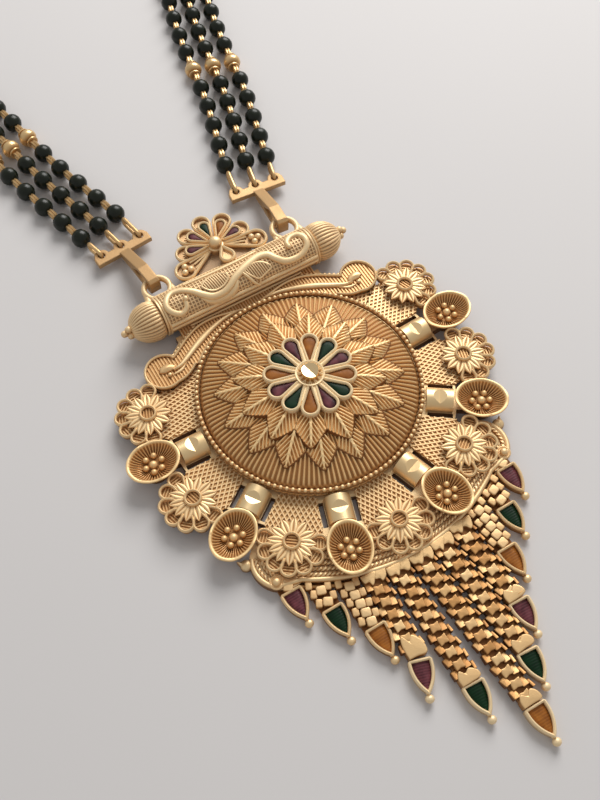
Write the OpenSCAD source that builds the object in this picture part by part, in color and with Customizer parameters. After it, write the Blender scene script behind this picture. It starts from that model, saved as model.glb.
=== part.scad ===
// Gold mangalsutra lying flat: a domed medallion with a ring of rosettes and dishes, a top bar with a
// fan crest, a fringe of woven chains with enamelled drops, and a neck loop of six rows of black beads.
// The middle of the medallion's flat underside is the origin, +Y points to the crest and +Z up.

/* [Medallion] */
// Radius to the middle of the medallion's beaded rim
rim_r = 16; // [15.8:0.1:16.1]
// Rise of the dome above the foot of its wall
dome_rise = 4.65; // [4.3:0.05:4.9]
// Thickness of the back plate
plate_t = 1.2; // [1:0.05:1.25]
// Length of a petal of the centre flower, from the middle to its tip
flower_r = 6.5; // [6:0.1:6.7]

/* [Ring of ornaments] */
// Angle from one ornament of the ring to the next
ring_step = 18.4; // [18.2:0.1:18.6]
// Distance of the rosettes from the middle
rosette_orbit = 23; // [22.9:0.1:23.3]
// Radius of a rosette
rosette_r = 4.3; // [4:0.1:4.3]
// Distance of the dishes from the middle
cup_orbit = 24.3; // [24.2:0.1:24.6]
// Length of a dish
cup_len = 7.7; // [7.3:0.1:7.7]
// Width of a dish
cup_w = 6.2; // [5.8:0.1:6.2]
// Height of a dish
cup_h = 1.95; // [1.8:0.05:2.1]
// Width of a spoke
tube_w = 3.8; // [3.4:0.1:3.8]

/* [Top bar and crest] */
// Distance of the bar's axis from the medallion's middle
bar_y = 21.2; // [21:0.1:21.4]
// Half length of the bar between its collars
bar_half = 12.3; // [12:0.1:12.6]
// Radius of the bar
bar_r = 2.9; // [2.8:0.05:2.95]
// Length of a petal of the crest, from its knob
crest_r = 6.35; // [6:0.05:6.5]
// Outer radius of a ring on the bar
ring_r = 2.4; // [2.3:0.05:2.45]

/* [Fringe] */
// Length of the middle chain
fringe_len = 22.8; // [22.4:0.2:24]
// Distance from one column of the fringe to the next
column_step = 3.42; // [3.4:0.02:3.5]
// Width of a woven chain
chain_w = 2.8; // [2.6:0.05:2.85]
// Thickness of a woven chain
chain_t = 1.6; // [1.4:0.1:1.8]
// Width of a drop
drop_w = 2.95; // [2.8:0.05:3]
// Length of a drop's frame
drop_len = 4.5; // [4.3:0.1:4.6]

/* [Neck loop] */
// Diameter of a black bead
bead_d = 3; // [2.8:0.1:3.1]
// Distance from one row of beads to the next
row_step = 3.5; // [3.4:0.05:3.7]
// Length of the straight part of the middle row
row_straight = 180; // [150:5:200]
// Angle at which the rows spread from the medallion's long axis
row_spread = 14.5; // [14:0.25:15]
// Sideways swing of the rows as they lie
row_wave = 0.5; // [0:0.1:0.8]

/* [Hidden] */
$fn = 48;

gold = "goldenrod";
bright_gold = "gold";
orange = "chocolate";
green = "darkgreen";
maroon = "maroon";
black = "black";

// Clearance between pieces that meet
gap = 0.05;
// Height at which castings stand on the plate
seat_z = plate_t + gap;

// Medallion
wall_r = rim_r - 0.4;
dome_top_z = seat_z + dome_rise;
wall_h = 1.8;
dome_cap_h = dome_rise - wall_h;
dome_sphere_r = (dome_cap_h * dome_cap_h + wall_r * wall_r) / (2 * dome_cap_h);
inner_leaf_tip = 10.6;
outer_leaf_tip = 13.3;
leaf_w = 4.2;
petal_count = 12;
petal_step = 360 / petal_count;
flower_seat_r = 5.7;
flower_seat_z = dome_top_z - 0.3;
petal_root = 1.5;
petal_w = 2.5;
petal_wall = 0.32;
petal_floor_z = flower_seat_z + 0.65;
petal_top_z = flower_seat_z + 1.15;
stud_r = 1.25;

// Ring of ornaments, counted from the left end of the ring round its bottom to the right end
rosette_count = 7;
cup_count = 6;
rosette_h = 1.7;
tube_start = rim_r + 0.6;
tube_end = cup_orbit - cup_len / 2 - gap;
slot_w = 0.7;
slot_start = tube_start + 0.3;
slot_end = tube_end + 0.1;
field_r = max(slot_end + 0.5, rosette_orbit - 2);
skirt_r = max(rosette_orbit + rosette_r + 0.7, cup_orbit + cup_len / 2 - 0.15);
// Strip of the plate that carries a dish
cup_neck_w = 2.4;
wire_r = 0.36;
// Round corner of the skirt, on the right of the medallion
lobe_r = 4.1;
lobe_x = 4.7 * column_step;
lobe_y = edge_y(lobe_x, skirt_r) + 3.5;
// Round end of the right-hand scroll, one step beyond the last rosette
scroll_r = 2.88;
scroll_orbit = rim_r + 5.05;
scroll_x = scroll_orbit * cos(slot_angle(rosette_count));
scroll_y = scroll_orbit * sin(slot_angle(rosette_count));
scroll_edge_r = rim_r + 4.4;

// Top bar
bar_z = 3.1;
collar_w = 0.7;
cap_len = 4.7;
// Outline of an end cap: share of its length, and radius as a share of the bar's
CAP = [[0.01, 0.93], [0.3, 1.02], [0.53, 0.98], [0.79, 0.79], [1, 0.45], [1, 0]];
ring_x = 11.05;
ring_y = bar_y + 4.8;
ring_wire = 0.85;
ring_t = 1.2;
bar_wire_r = 0.3;
crest_y = bar_y + 6.7;
crest_z = 3.3;
crest_petal_angles = [12, 51, 90, 129, 168];
crest_petal_colours = [maroon, orange, green, maroon, maroon];

// Fringe: column number from the middle, length as a share of the middle chain's,
// lean of the chain, lean of the drop, colour of the drop
COLUMN = 0;
SHARE = 1;
CHAIN_LEAN = 2;
DROP_LEAN = 3;
COLOUR = 4;
FRINGE = [
    [-5, 0.057, 0, 0, maroon],
    [-4, 0.16, 0, 0, green],
    [-3, 0.3, 0, 0, orange],
    [-2, 0.515, -4, -18, maroon],
    [-1, 0.745, -1, -4.5, green],
    [0, 1, 3, -1.5, orange],
    [1, 0.75, 3.4, -6, green],
    [2, 0.53, 2.5, -4, maroon],
    [3, 0.3, 0, 0, orange],
    [4, 0.16, 0, 0, green],
    [5, 0.057, 0, 0, maroon],
];
chain_count = 5;
first_chain = 3;
brick_step = 1.38;
brick_len = 1.1;
cast_w = column_step - 0.58;
cast_t = 1.1;
drop_wall = 0.4;
drop_t = 1.5;
drop_floor = 0.9;
ball_r = 0.62;

// Neck loop
strap_w = 1.7;
t_lean = 5;
t_reach = 10.4;
t_bar_t = 0.8;
t_bar_z = bead_d / 2;
eyelet_step = 3.4;
link_wire = 0.2;
link_bow = 0.8;
row_count = 3;
row_z = bead_d / 2;
row_sides = 8;
ring_every = 7;
back_x = 11.5;
wave_len = 48;

// Centre of the bar that holds the rows, and the start of the middle row
t_x = ring_x + t_reach * sin(t_lean);
t_y = ring_y + t_reach * cos(t_lean);
row_x0 = t_x + 0.95;
row_y0 = t_y + 4.75;
// The middle row runs straight, then turns on one arc to the back
arc_r = (row_x0 + row_straight * sin(row_spread) - back_x) / cos(row_spread);
arc_x = row_x0 + row_straight * sin(row_spread) - arc_r * cos(row_spread);
arc_y = row_y0 + row_straight * cos(row_spread) + arc_r * sin(row_spread);
arc_len = arc_r * (90 + row_spread) * PI / 180;
row_len = row_straight + arc_len;
row_rings = ceil(row_len / ring_every);
back_y = arc_y + arc_r;

// Angle of the ring's slot number n, where 0 is the bottom of the ring
function slot_angle(n) = -90 + n * ring_step;
function rosette_angle(k) = slot_angle(2 * (k - (rosette_count + 1) / 2));
function cup_angle(k) = slot_angle(2 * (k - (cup_count + 1) / 2));

// Place of a fringe column, and the height of a circle's lower edge below its middle
function column_x(row) = row[COLUMN] * column_step;
function edge_y(x, r) = -sqrt(r * r - x * x);

// Point of the middle row at distance s from its start, shifted sideways by d
function row_heading(s) = s < row_straight ? row_spread
    : row_spread - (s - row_straight) / arc_r * 180 / PI;
function wave(s) = row_wave * sin(360 * s / wave_len) * min(1, s / 20, (row_len - s) / 20);
function row_point(s, d) = let (h = row_heading(s), e = d + wave(s))
    (s < row_straight
        ? [row_x0 + s * sin(h), row_y0 + s * cos(h)]
        : [arc_x + arc_r * cos(h), arc_y - arc_r * sin(h)])
    + e * [cos(h), -sin(h)];

// A teardrop along +X, from a point at distance root to a round end
module teardrop(root, tip, w) {
    r = w / 2;
    c = tip - r;
    a = acos(r / (c - root));
    k = 0.985 * r;
    translate([c, 0]) circle(r);
    polygon([[root, 0], [c - k * cos(a), -k * sin(a)], [c, 0], [c - k * cos(a), k * sin(a)]]);
}

// A pointed leaf along +X, the shared part of two circles
module leaf(root, tip, w) {
    half = (tip - root) / 2;
    r = (half * half + w * w / 4) / w;
    translate([root + half, 0]) intersection() {
        translate([0, r - w / 2]) circle(r, $fn = 96);
        translate([0, w / 2 - r]) circle(r, $fn = 96);
    }
}

// The part of the plane between two directions, less than half a turn apart
module wedge(a0, a1, r) {
    m = (a0 + a1) / 2;
    far = r / cos((a1 - a0) / 4);
    polygon([[0, 0], far * [cos(a0), sin(a0)], far * [cos(m), sin(m)], far * [cos(a1), sin(a1)]]);
}

module flat_ring(outer, inner) {
    difference() {
        circle(outer);
        circle(inner);
    }
}

// A bent wire along an arc about the Z axis
module arc_wire(r, a0, a1, wire) {
    rotate(a0) rotate_extrude(angle = a1 - a0, $fn = 96) translate([r, 0]) circle(wire, $fn = 16);
}

module at_angle(a, r, z) {
    rotate(a) translate([r, 0, z]) children();
}

// Medallion

module plate_outline() {
    intersection() {
        union() {
            circle(field_r, $fn = 96);
            translate([0, 9]) square([2 * bar_half, 18], center = true);
        }
        translate([0, bar_y - bar_r - gap - 50]) square(100, center = true);
    }
    intersection() {
        circle(skirt_r, $fn = 96);
        wedge(-126, -54, skirt_r + 1);
    }
    for (side = [-1, 1]) {
        translate([side * lobe_x, lobe_y]) circle(lobe_r);
        translate([side * scroll_x, scroll_y]) circle(scroll_r);
    }
    for (k = [1:rosette_count]) rotate(rosette_angle(k)) translate([rosette_orbit, 0]) circle(2.9);
    for (k = [1:cup_count]) rotate(cup_angle(k)) {
        translate([cup_orbit, 0]) circle(2);
        translate([field_r - 1, -cup_neck_w / 2]) square([cup_orbit - field_r + 1, cup_neck_w]);
    }
}

module plate() {
    sunk = 0.06;
    color(gold) union() {
        linear_extrude(plate_t) difference() {
            plate_outline();
            for (k = [1:cup_count], side = [-1, 1]) rotate(cup_angle(k))
                translate([(slot_start + slot_end) / 2, side * (tube_w + slot_w + 2 * gap) / 2])
                square([slot_end - slot_start, slot_w], center = true);
        }
        for (side = [0, 1]) mirror([side, 0, 0]) {
            // Border wires, a domed bead and a bud round each corner
            translate([0, 0, plate_t - sunk]) arc_wire(skirt_r - wire_r, -71, -55, wire_r);
            translate([lobe_x, lobe_y, plate_t - sunk]) arc_wire(lobe_r - wire_r, -58, 28, wire_r);
            translate([lobe_x + 2.05, lobe_y - 2.5, plate_t - 0.3]) cylinder(r = 0.75, h = 0.7);
            translate([lobe_x + 2.05, lobe_y - 2.5, plate_t + 0.35]) sphere(0.45, $fn = 24);
            translate([lobe_x + 4.25, lobe_y + 1.6, plate_t / 2 + 0.3]) sphere(0.85, $fn = 24);
        }
    }
}

// Rows of leaves, as a star of pointed leaves round a disc
module leaf_star(root, tip, turn) {
    circle(root + 2);
    for (k = [1:petal_count]) rotate(turn + k * petal_step) leaf(root, tip, leaf_w);
}

module dome_ball(extra) {
    translate([0, 0, dome_top_z - dome_sphere_r]) sphere(dome_sphere_r + extra, $fn = 180);
}

module dome() {
    color(gold) difference() {
        union() {
            intersection() {
                dome_ball(0);
                translate([0, 0, seat_z]) cylinder(r = wall_r, h = dome_rise + 1, $fn = 96);
            }
            intersection() {
                dome_ball(0.2);
                translate([0, 0, seat_z + 0.5]) linear_extrude(dome_rise) leaf_star(7, outer_leaf_tip, 15);
            }
            intersection() {
                dome_ball(0.4);
                translate([0, 0, seat_z + 0.5]) linear_extrude(dome_rise) leaf_star(5, inner_leaf_tip, 0);
            }
            translate([0, 0, seat_z + wall_h - 0.25]) arc_wire(rim_r, 0, 360, 0.42);
        }
        translate([0, 0, flower_seat_z - gap]) cylinder(r = flower_seat_r, h = 3);
    }
}

module each_petal() {
    for (k = [1:petal_count]) rotate(k * petal_step) children();
}

module petal_cell(inset) {
    teardrop(petal_root + 2.2 * inset, flower_r - inset, petal_w - 2 * inset);
}

module centre_flower() {
    color(bright_gold) difference() {
        union() {
            translate([0, 0, flower_seat_z]) cylinder(r = flower_seat_r - 2 * gap, h = 0.5);
            translate([0, 0, flower_seat_z + 0.4]) linear_extrude(0.75) union() {
                each_petal() petal_cell(0);
                circle(1.9);
            }
            translate([0, 0, petal_top_z - 0.2]) cylinder(r = 1.9, h = 0.35);
        }
        translate([0, 0, petal_floor_z]) linear_extrude(2) each_petal() petal_cell(petal_wall);
        translate([0, 0, flower_seat_z + 0.5]) cylinder(r = stud_r + gap, h = 3);
    }
}

module centre_stud() {
    color(bright_gold) translate([0, 0, flower_seat_z + 0.5 + gap]) difference() {
        cylinder(r = stud_r, h = 1.7);
        // Two cut facets that meet in a ridge across the top
        for (side = [0, 180]) rotate(side + 35) translate([0, 0, 1.7]) rotate([0, 24, 0])
            translate([0, -3, 0]) cube([4, 6, 3]);
    }
}

// Fills of one colour: petals of the centre flower, of the crest and of the drops
module enamel(colour, first_petal) {
    translate([0, 0, petal_floor_z + gap]) linear_extrude(0.35)
        for (k = [0:3]) rotate(first_petal + 90 * k) petal_cell(petal_wall + gap);
    for (k = [0:4]) if (crest_petal_colours[k] == colour)
        translate([0, crest_y, crest_z + 1 + gap]) rotate(crest_petal_angles[k])
        linear_extrude(0.3) crest_cell(0.3 + gap);
    for (row = FRINGE) if (row[COLOUR] == colour) at_drop(row)
        translate([0, 0, drop_floor + gap]) linear_extrude(0.4) shield(drop_wall + gap);
}

module enamel_orange() {
    color(orange) enamel(orange, 60);
}

module enamel_green() {
    color(green) enamel(green, 30);
}

module enamel_maroon() {
    color(maroon) enamel(maroon, 0);
}

// Ring of ornaments

// Round star with rays that end at radius tip, and valleys between them at radius root
module star(rays, root, tip) {
    step = 180 / rays;
    polygon([for (j = [0:2 * rays - 1]) let (r = j % 2 == 0 ? tip : root) r * [cos(j * step), sin(j * step)]]);
}

// Loops of a rosette, on its outer side only
module each_loop() {
    for (j = [-3:3]) rotate(j * 34) children();
}

module rosette(k) {
    loop_w = 0.5 * rosette_r;
    wall = 0.34;
    color(gold) at_angle(rosette_angle(k), rosette_orbit, seat_z) union() {
        difference() {
            linear_extrude(1.05) union() {
                circle(0.55 * rosette_r);
                each_loop() teardrop(0.2 * rosette_r, rosette_r, loop_w);
            }
            translate([0, 0, 0.45]) linear_extrude(1) each_loop()
                teardrop(0.5 * rosette_r, rosette_r - wall, loop_w - 2 * wall);
        }
        linear_extrude(1.35) star(16, 0.54 * rosette_r, 0.66 * rosette_r);
        linear_extrude(rosette_h) flat_ring(1.15, 0.75);
    }
}

module tube(k) {
    len = tube_end - tube_start;
    r = tube_w / 2;
    sunk = 0.25;
    notch = 1.15;
    color(bright_gold) at_angle(cup_angle(k), tube_start, seat_z) difference() {
        intersection() {
            translate([0, 0, -sunk]) rotate([0, 90, 0]) cylinder(r = r, h = len);
            translate([0, -r, 0]) cube([len, 2 * r, 2 * r]);
        }
        // A shallow cut across the top
        translate([len / 2, r, r - sunk - 0.35]) rotate([90, 0, 0]) linear_extrude(2 * r)
            polygon([[0, 0], [notch, 0.36], [notch, 1], [-notch, 1], [-notch, 0.36]]);
    }
}

// Half of the cross-section of a dish with a thin lip
module cup_section(r) {
    lip = 0.3;
    polygon([[0, 0], [0.55 * r, 0], [r - 0.35, 0.56 * cup_h], [r, 0.9 * cup_h],
        [r - lip / 3, cup_h], [r - lip, 0.97 * cup_h], [r - lip - 0.4, 0.64 * cup_h],
        [0.42 * r, 0.28 * cup_h], [0, 0.26 * cup_h]]);
}

module cup(k) {
    r = cup_w / 2;
    reach = (cup_len - cup_w) / 2;
    color(gold) at_angle(cup_angle(k), cup_orbit, seat_z) union() {
        // Two half bowls with a short straight stretch between them
        for (end = [-1, 1]) translate([end * reach, 0, 0]) rotate(-90 * end)
            rotate_extrude(angle = 180) cup_section(r);
        translate([-reach, 0, 0]) rotate([90, 0, 90]) linear_extrude(2 * reach) union() {
            cup_section(r);
            mirror([1, 0]) cup_section(r);
        }
        translate([0, 0, 0.49 * cup_h]) sphere(0.52, $fn = 24);
        for (j = [1:6]) at_angle(60 * j, 1.1, 0.46 * cup_h) sphere(0.5, $fn = 24);
    }
}

// A scroll over the medallion's shoulder: a field between two arcs that ends in a round lobe
module scroll_field() {
    intersection() {
        flat_ring(scroll_edge_r, rim_r);
        wedge(40, 82, 30);
        translate([0, bar_y - bar_r - gap - 50]) square(100, center = true);
    }
    translate([scroll_x, scroll_y]) circle(scroll_r - 0.1);
}

module scroll() {
    color(gold) translate([0, 0, seat_z]) difference() {
        union() {
            linear_extrude(0.8) scroll_field();
            linear_extrude(1.2) intersection() {
                scroll_field();
                union() {
                    intersection() {
                        flat_ring(scroll_edge_r, scroll_edge_r - 0.6);
                        wedge(52, 82, 30);
                    }
                    intersection() {
                        flat_ring(18.9, 18.1);
                        wedge(42, 80, 30);
                    }
                    translate([scroll_x, scroll_y]) flat_ring(scroll_r, scroll_r - 0.6);
                }
            }
            translate([scroll_x + 0.3, scroll_y - 0.4, 0.92]) sphere(0.9, $fn = 32);
        }
        translate([0, 0, -1]) cylinder(r = rim_r + 0.5, h = 5, $fn = 96);
    }
}

module scroll_left() {
    mirror([1, 0, 0]) scroll();
}

module scroll_right() {
    scroll();
}

// Top bar and crest

module bar_body(extra, half) {
    translate([-half, bar_y, bar_z]) rotate([0, 90, 0]) cylinder(r = bar_r + extra, h = 2 * half, $fn = 96);
}

// Two frame wires along the bar
module bar_wires(extra, half) {
    for (a = [18, 162]) translate([-half, bar_y, bar_z]) rotate([a, 0, 0]) translate([0, bar_r, 0])
        rotate([0, 90, 0]) cylinder(r = bar_wire_r + extra, h = 2 * half, $fn = 24);
}

// Collar and barrel-shaped cap on the bar's right end, with a cluster of granules on its tip
module end_cap() {
    collar_r = bar_z - 0.08;
    barrel = [for (s = CAP) [s[1] * bar_r, collar_w + s[0] * cap_len]];
    tip_x = bar_half + collar_w + cap_len;
    translate([bar_half, bar_y, bar_z]) rotate([90, 0, 90]) rotate_extrude()
        polygon(concat([[0, 0], [collar_r, 0], [collar_r, collar_w]], barrel));
    for (a = [90, 210, 330]) translate([tip_x + 0.3, bar_y, bar_z])
        rotate([a, 0, 0]) translate([0, 0.62, 0]) sphere(0.55, $fn = 24);
    translate([tip_x + 1.05, bar_y, bar_z]) sphere(0.55, $fn = 24);
}

module bar_ring() {
    translate([ring_x, ring_y, bar_z - ring_t / 2]) linear_extrude(ring_t) difference() {
        union() {
            circle(ring_r);
            polygon([[-ring_r, -0.6], [-ring_r - 0.5, -2.6], [ring_r + 0.5, -2.6], [ring_r, -0.6]]);
        }
        circle(ring_r - ring_wire);
    }
}

module top_bar() {
    color(gold) union() {
        bar_body(0, bar_half + 0.2);
        bar_wires(0, bar_half + 0.1);
        for (side = [0, 1]) mirror([side, 0, 0]) {
            end_cap();
            bar_ring();
        }
    }
}

module crest_cell(inset) {
    teardrop(0.9 + 2.5 * inset, 4.8 - inset, 1.9 - 2 * inset);
}

module crest_loops(inset) {
    for (a = crest_petal_angles) rotate(a) teardrop(0.5 + 4 * inset, crest_r - inset, 2.7 - 2 * inset);
    for (a = [-17, 197]) rotate(a) teardrop(0.5 + 4 * inset, crest_r + 1.7 - inset, 3.4 - 2 * inset);
}

module crest() {
    color(gold) difference() {
        translate([0, crest_y, crest_z]) union() {
            linear_extrude(0.5) crest_loops(0);
            linear_extrude(1) difference() {
                crest_loops(0);
                crest_loops(0.35);
            }
            linear_extrude(1.4) for (a = crest_petal_angles) rotate(a) difference() {
                crest_cell(0);
                crest_cell(0.3);
            }
            linear_extrude(1) for (a = crest_petal_angles) rotate(a) crest_cell(0.1);
            // Three granules in each side petal
            for (side = [-1, 1], j = [0:2]) translate([side * 6.05, -2.2, 0.7]) rotate(120 * j + 20)
                translate([0.62, 0, 0]) sphere(0.52, $fn = 24);
            cylinder(r = 1.3, h = 1.4);
            translate([0, 0, 1.5]) sphere(1.05, $fn = 32);
            // Small lobe under the knob, on the bar's shoulder
            translate([0.4, -3.1, 0]) cylinder(r = 1.25, h = 2.1);
            translate([0.4, -2, 0]) cylinder(r = 0.9, h = 1.9);
        }
        bar_body(gap, bar_half);
        bar_wires(gap, bar_half);
    }
}

// Fringe

// Outline of a drop with its top edge at the origin, tapering to a point at -Y
module shield(inset) {
    shoulder = 0.8;
    depth = drop_len - shoulder;
    c = (depth * depth - drop_w * drop_w / 4) / drop_w;
    intersection() {
        translate([c, -shoulder]) circle(c + drop_w / 2 - inset, $fn = 96);
        translate([-c, -shoulder]) circle(c + drop_w / 2 - inset, $fn = 96);
        translate([-drop_w, -drop_len - 1]) square([2 * drop_w, drop_len + 1 - inset]);
    }
}

function chain_start(row) = let (x = column_x(row)) [x, edge_y(x, skirt_r + gap)];
function column_len(row) = row[SHARE] * fringe_len;

// Places a drop below its column, with room for the corner that a turned drop raises
module at_drop(row) {
    turn = row[DROP_LEAN] - row[CHAIN_LEAN];
    room = gap + drop_w / 2 * sin(abs(turn));
    translate(chain_start(row)) rotate(row[CHAIN_LEAN]) translate([0, -column_len(row) - room, 0])
        rotate(turn) children();
}

module drop_frame() {
    linear_extrude(drop_floor) shield(0);
    linear_extrude(drop_t) difference() {
        shield(0);
        shield(drop_wall);
    }
    translate([0, -drop_len - ball_r + 0.15, ball_r]) sphere(ball_r, $fn = 24);
}

module drop(k) {
    color(bright_gold) at_drop(FRINGE[first_chain + k - 1]) drop_frame();
}

module brick(x, y, w, height) {
    translate([x - w / 2, y - brick_len, 0]) cube([w, brick_len, height]);
}

module woven_chain(k) {
    row = FRINGE[first_chain + k - 1];
    len = column_len(row);
    count = floor((len - 2.6) / brick_step);
    color(gold) difference() {
        translate(chain_start(row)) rotate(row[CHAIN_LEAN]) union() {
            translate([-chain_w / 2, -len, 0]) cube([chain_w, len + 0.5, chain_t - 0.5]);
            for (j = [0:count - 1]) {
                brick(-0.75, -1.1 - j * brick_step, 1, chain_t);
                brick(0.75, -1.8 - j * brick_step, 1, chain_t);
            }
            // Solder at both ends
            translate([-chain_w / 2 + 0.1, -1.2, 0]) cube([chain_w - 0.2, 1.7, chain_t + 0.4]);
            translate([-chain_w / 2 + 0.2, -len, 0]) cube([chain_w - 0.4, 1.2, chain_t]);
        }
        translate([0, 0, -1]) cylinder(r = skirt_r + gap, h = 5, $fn = 96);
    }
}

// A cast column with rows of three pads that follow the skirt's edge
module cast_column(row) {
    x = column_x(row);
    len = column_len(row);
    low = edge_y(x, skirt_r) - len;
    translate([x - cast_w / 2, low - 0.35, 0]) cube([cast_w, len + 0.65, cast_t]);
    for (i = [-1:1], j = [0:4]) {
        y = edge_y(x + i, skirt_r + 0.35) - j * brick_step;
        if (y - brick_len > low) brick(x + 0.98 * i, y, i == 0 ? 1.05 : 0.75, chain_t);
    }
}

// Three cast columns on the right, joined along the skirt's edge, each with its drop
module fringe_right() {
    rows = [for (row = FRINGE) if (row[COLUMN] > 2) row];
    color(gold) union() {
        difference() {
            union() {
                linear_extrude(cast_t) intersection() {
                    circle(skirt_r + 1.1, $fn = 96);
                    translate([2.6 * column_step, -40]) square([2.75 * column_step, 40]);
                }
                for (row = rows) cast_column(row);
            }
            translate([0, 0, -1]) cylinder(r = skirt_r + gap, h = 5, $fn = 96);
            translate([lobe_x, lobe_y, -1]) cylinder(r = lobe_r + gap, h = 5);
            for (row = rows) at_drop(row)
                translate([0, 0, drop_floor]) linear_extrude(3) shield(drop_wall);
        }
        for (row = rows) at_drop(row) drop_frame();
    }
}

module fringe_left() {
    mirror([1, 0, 0]) fringe_right();
}

// Neck loop

// Places children with the ring's middle at the origin and the bar's stem along +Y
module at_front(side) {
    mirror([side < 0 ? 1 : 0, 0, 0]) translate([ring_x, ring_y, 0]) rotate(-t_lean) children();
}

// Flat bar with three eyelets, centred on the origin
module eyelet_bar() {
    translate([0, 0, t_bar_z - t_bar_t / 2]) linear_extrude(t_bar_t) difference() {
        union() {
            square([9.4, 1.5], center = true);
            for (k = [-1:1]) translate([k * eyelet_step, 0.6]) circle(1.2);
        }
        for (k = [-1:1]) translate([k * eyelet_step, 0.7]) circle(0.55, $fn = 24);
    }
}

module t_bar(side) {
    color(gold) at_front(side) union() {
        translate([0, t_reach, 0]) eyelet_bar();
        translate([-strap_w / 2, 0, 0]) rotate([90, 0, 90]) linear_extrude(strap_w) strap_side();
    }
}

// Side view of the strap that folds round the ring's wire: outline and the room inside the fold
module strap_side() {
    near = ring_r - ring_wire;
    far = ring_r + 1.6;
    end = t_reach - 0.4;
    low = bar_z - ring_t / 2 - 0.3;
    high = bar_z + ring_t / 2 + 0.3;
    difference() {
        polygon([[end, t_bar_z - t_bar_t / 2], [end, t_bar_z + t_bar_t / 2], [far, high + 0.3],
            [near - 0.55, high + 0.5], [near - 1.15, high + 0.2], [near - 1.25, bar_z],
            [near - 1.15, low - 0.2], [near - 0.65, low - 0.5], [far, low - 0.8]]);
        polygon([[far + 2.2, low], [far, high - 0.2], [near - 0.45, high], [near - 0.7, bar_z],
            [near - 0.45, low], [far, low - 0.3]]);
    }
}

// Long wire link in an upright plane, its near bow's wire upright through the origin
module long_link(len) {
    color(bright_gold) translate([0, link_bow, 0]) union() {
        for (end = [0, 1]) translate([0, end * (len - 2 * link_bow), 0]) rotate([90, 0, 90])
            rotate(end * 180 + 90) rotate_extrude(angle = 180, $fn = 32) translate([link_bow, 0])
            circle(link_wire, $fn = 16);
        for (z = [-1, 1]) translate([0, 0, z * link_bow]) rotate([-90, 0, 0])
            cylinder(r = link_wire, h = len - 2 * link_bow, $fn = 16);
    }
}

module end_links(side) {
    mirror([side < 0 ? 1 : 0, 0, 0]) for (k = [-1:1]) {
        eye = [t_x, t_y] + 0.7 * [sin(t_lean), cos(t_lean)]
            + k * eyelet_step * [cos(t_lean), -sin(t_lean)];
        far = row_point(0, k * row_step);
        way = far - eye;
        translate([eye[0], eye[1], row_z]) rotate(atan2(way[1], way[0]) - 90)
            long_link(norm(way) - link_wire - gap);
    }
}

module strand(side, k) {
    d = (k - 2) * row_step;
    last = row_rings;
    points = [for (i = [0:last], j = [0:row_sides - 1])
        let (s = i * row_len / last, h = row_heading(s), p = row_point(s, d), a = 360 * j / row_sides)
        [p[0] + bead_d / 2 * cos(a) * cos(h), p[1] - bead_d / 2 * cos(a) * sin(h),
            row_z + bead_d / 2 * sin(a)]];
    sides = [for (i = [0:last - 1], j = [0:row_sides - 1]) let (n = (j + 1) % row_sides)
        [i * row_sides + j, (i + 1) * row_sides + j, (i + 1) * row_sides + n, i * row_sides + n]];
    near = [for (j = [0:row_sides - 1]) j];
    far = [for (j = [row_sides - 1:-1:0]) last * row_sides + j];
    color(black) mirror([side < 0 ? 1 : 0, 0, 0]) polyhedron(points, concat(sides, [near, far]));
}

// Places children with a back bar's middle at the origin, its eyelets towards the rows
module at_back(side) {
    mirror([side < 0 ? 1 : 0, 0, 0]) translate([back_x - 4.75, back_y, 0]) rotate(-90) children();
}

module back_links(side) {
    at_back(side) for (k = [-1:1]) translate([k * eyelet_step, 0.7, row_z]) {
        way = [k * (row_step - eyelet_step), 4.05];
        rotate(atan2(way[1], way[0]) - 90) long_link(norm(way) - link_wire - gap);
    }
}

module back_bar(side) {
    color(gold) at_back(side) translate([0, 0, t_bar_z - t_bar_t / 2]) union() {
        translate([0, 0, t_bar_t / 2 - t_bar_z]) eyelet_bar();
        linear_extrude(t_bar_t) difference() {
            union() {
                translate([-0.8, -2.6]) square([1.6, 2.6]);
                translate([0, -3]) circle(1.5);
            }
            translate([0, -3]) circle(0.8);
        }
    }
}

// Flat S-hook through both bars' eyes, in the upright plane between them
module clasp_hook() {
    bow = 1.3;
    wire = 0.28;
    bow_x = back_x - 4.75 - 3 - bow;
    slant = asin(bow / bow_x);
    reach = bow_x * cos(slant);
    color(bright_gold) translate([0, back_y + wire, bow + wire]) rotate([90, 0, 0])
        linear_extrude(2 * wire) union() {
        for (turn = [0, 180]) rotate(turn) translate([-bow_x, 0]) difference() {
            flat_ring(bow + wire, bow - wire);
            wedge(-50, 90 - slant, 2 * bow);
        }
        rotate(-slant) square([2 * reach + 0.2, 1.8 * wire], center = true);
    }
}

plate();
dome();
centre_flower();
centre_stud();
enamel_orange();
enamel_green();
enamel_maroon();
for (k = [1:rosette_count]) rosette(k);
for (k = [1:cup_count]) tube(k);
for (k = [1:cup_count]) cup(k);
scroll_left();
scroll_right();
top_bar();
crest();
fringe_left();
fringe_right();
for (k = [1:chain_count]) woven_chain(k);
for (k = [1:chain_count]) drop(k);
t_bar(-1);  // t_bar_left
t_bar(1);  // t_bar_right
end_links(-1);  // end_links_left
end_links(1);  // end_links_right
for (k = [1:row_count]) strand(-1, k);
for (k = [1:row_count]) strand(1, k);
back_links(-1);  // back_links_left
back_links(1);  // back_links_right
back_bar(-1);  // back_bar_left
back_bar(1);  // back_bar_right
clasp_hook();
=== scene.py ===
# Gold mangalsutra on a pale table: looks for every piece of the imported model.
# Lengths in the tables are millimetres. X points to the right, Y to the crest and Z up.
import math
import bpy
import numpy as np
from mathutils import Matrix, Vector


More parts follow.
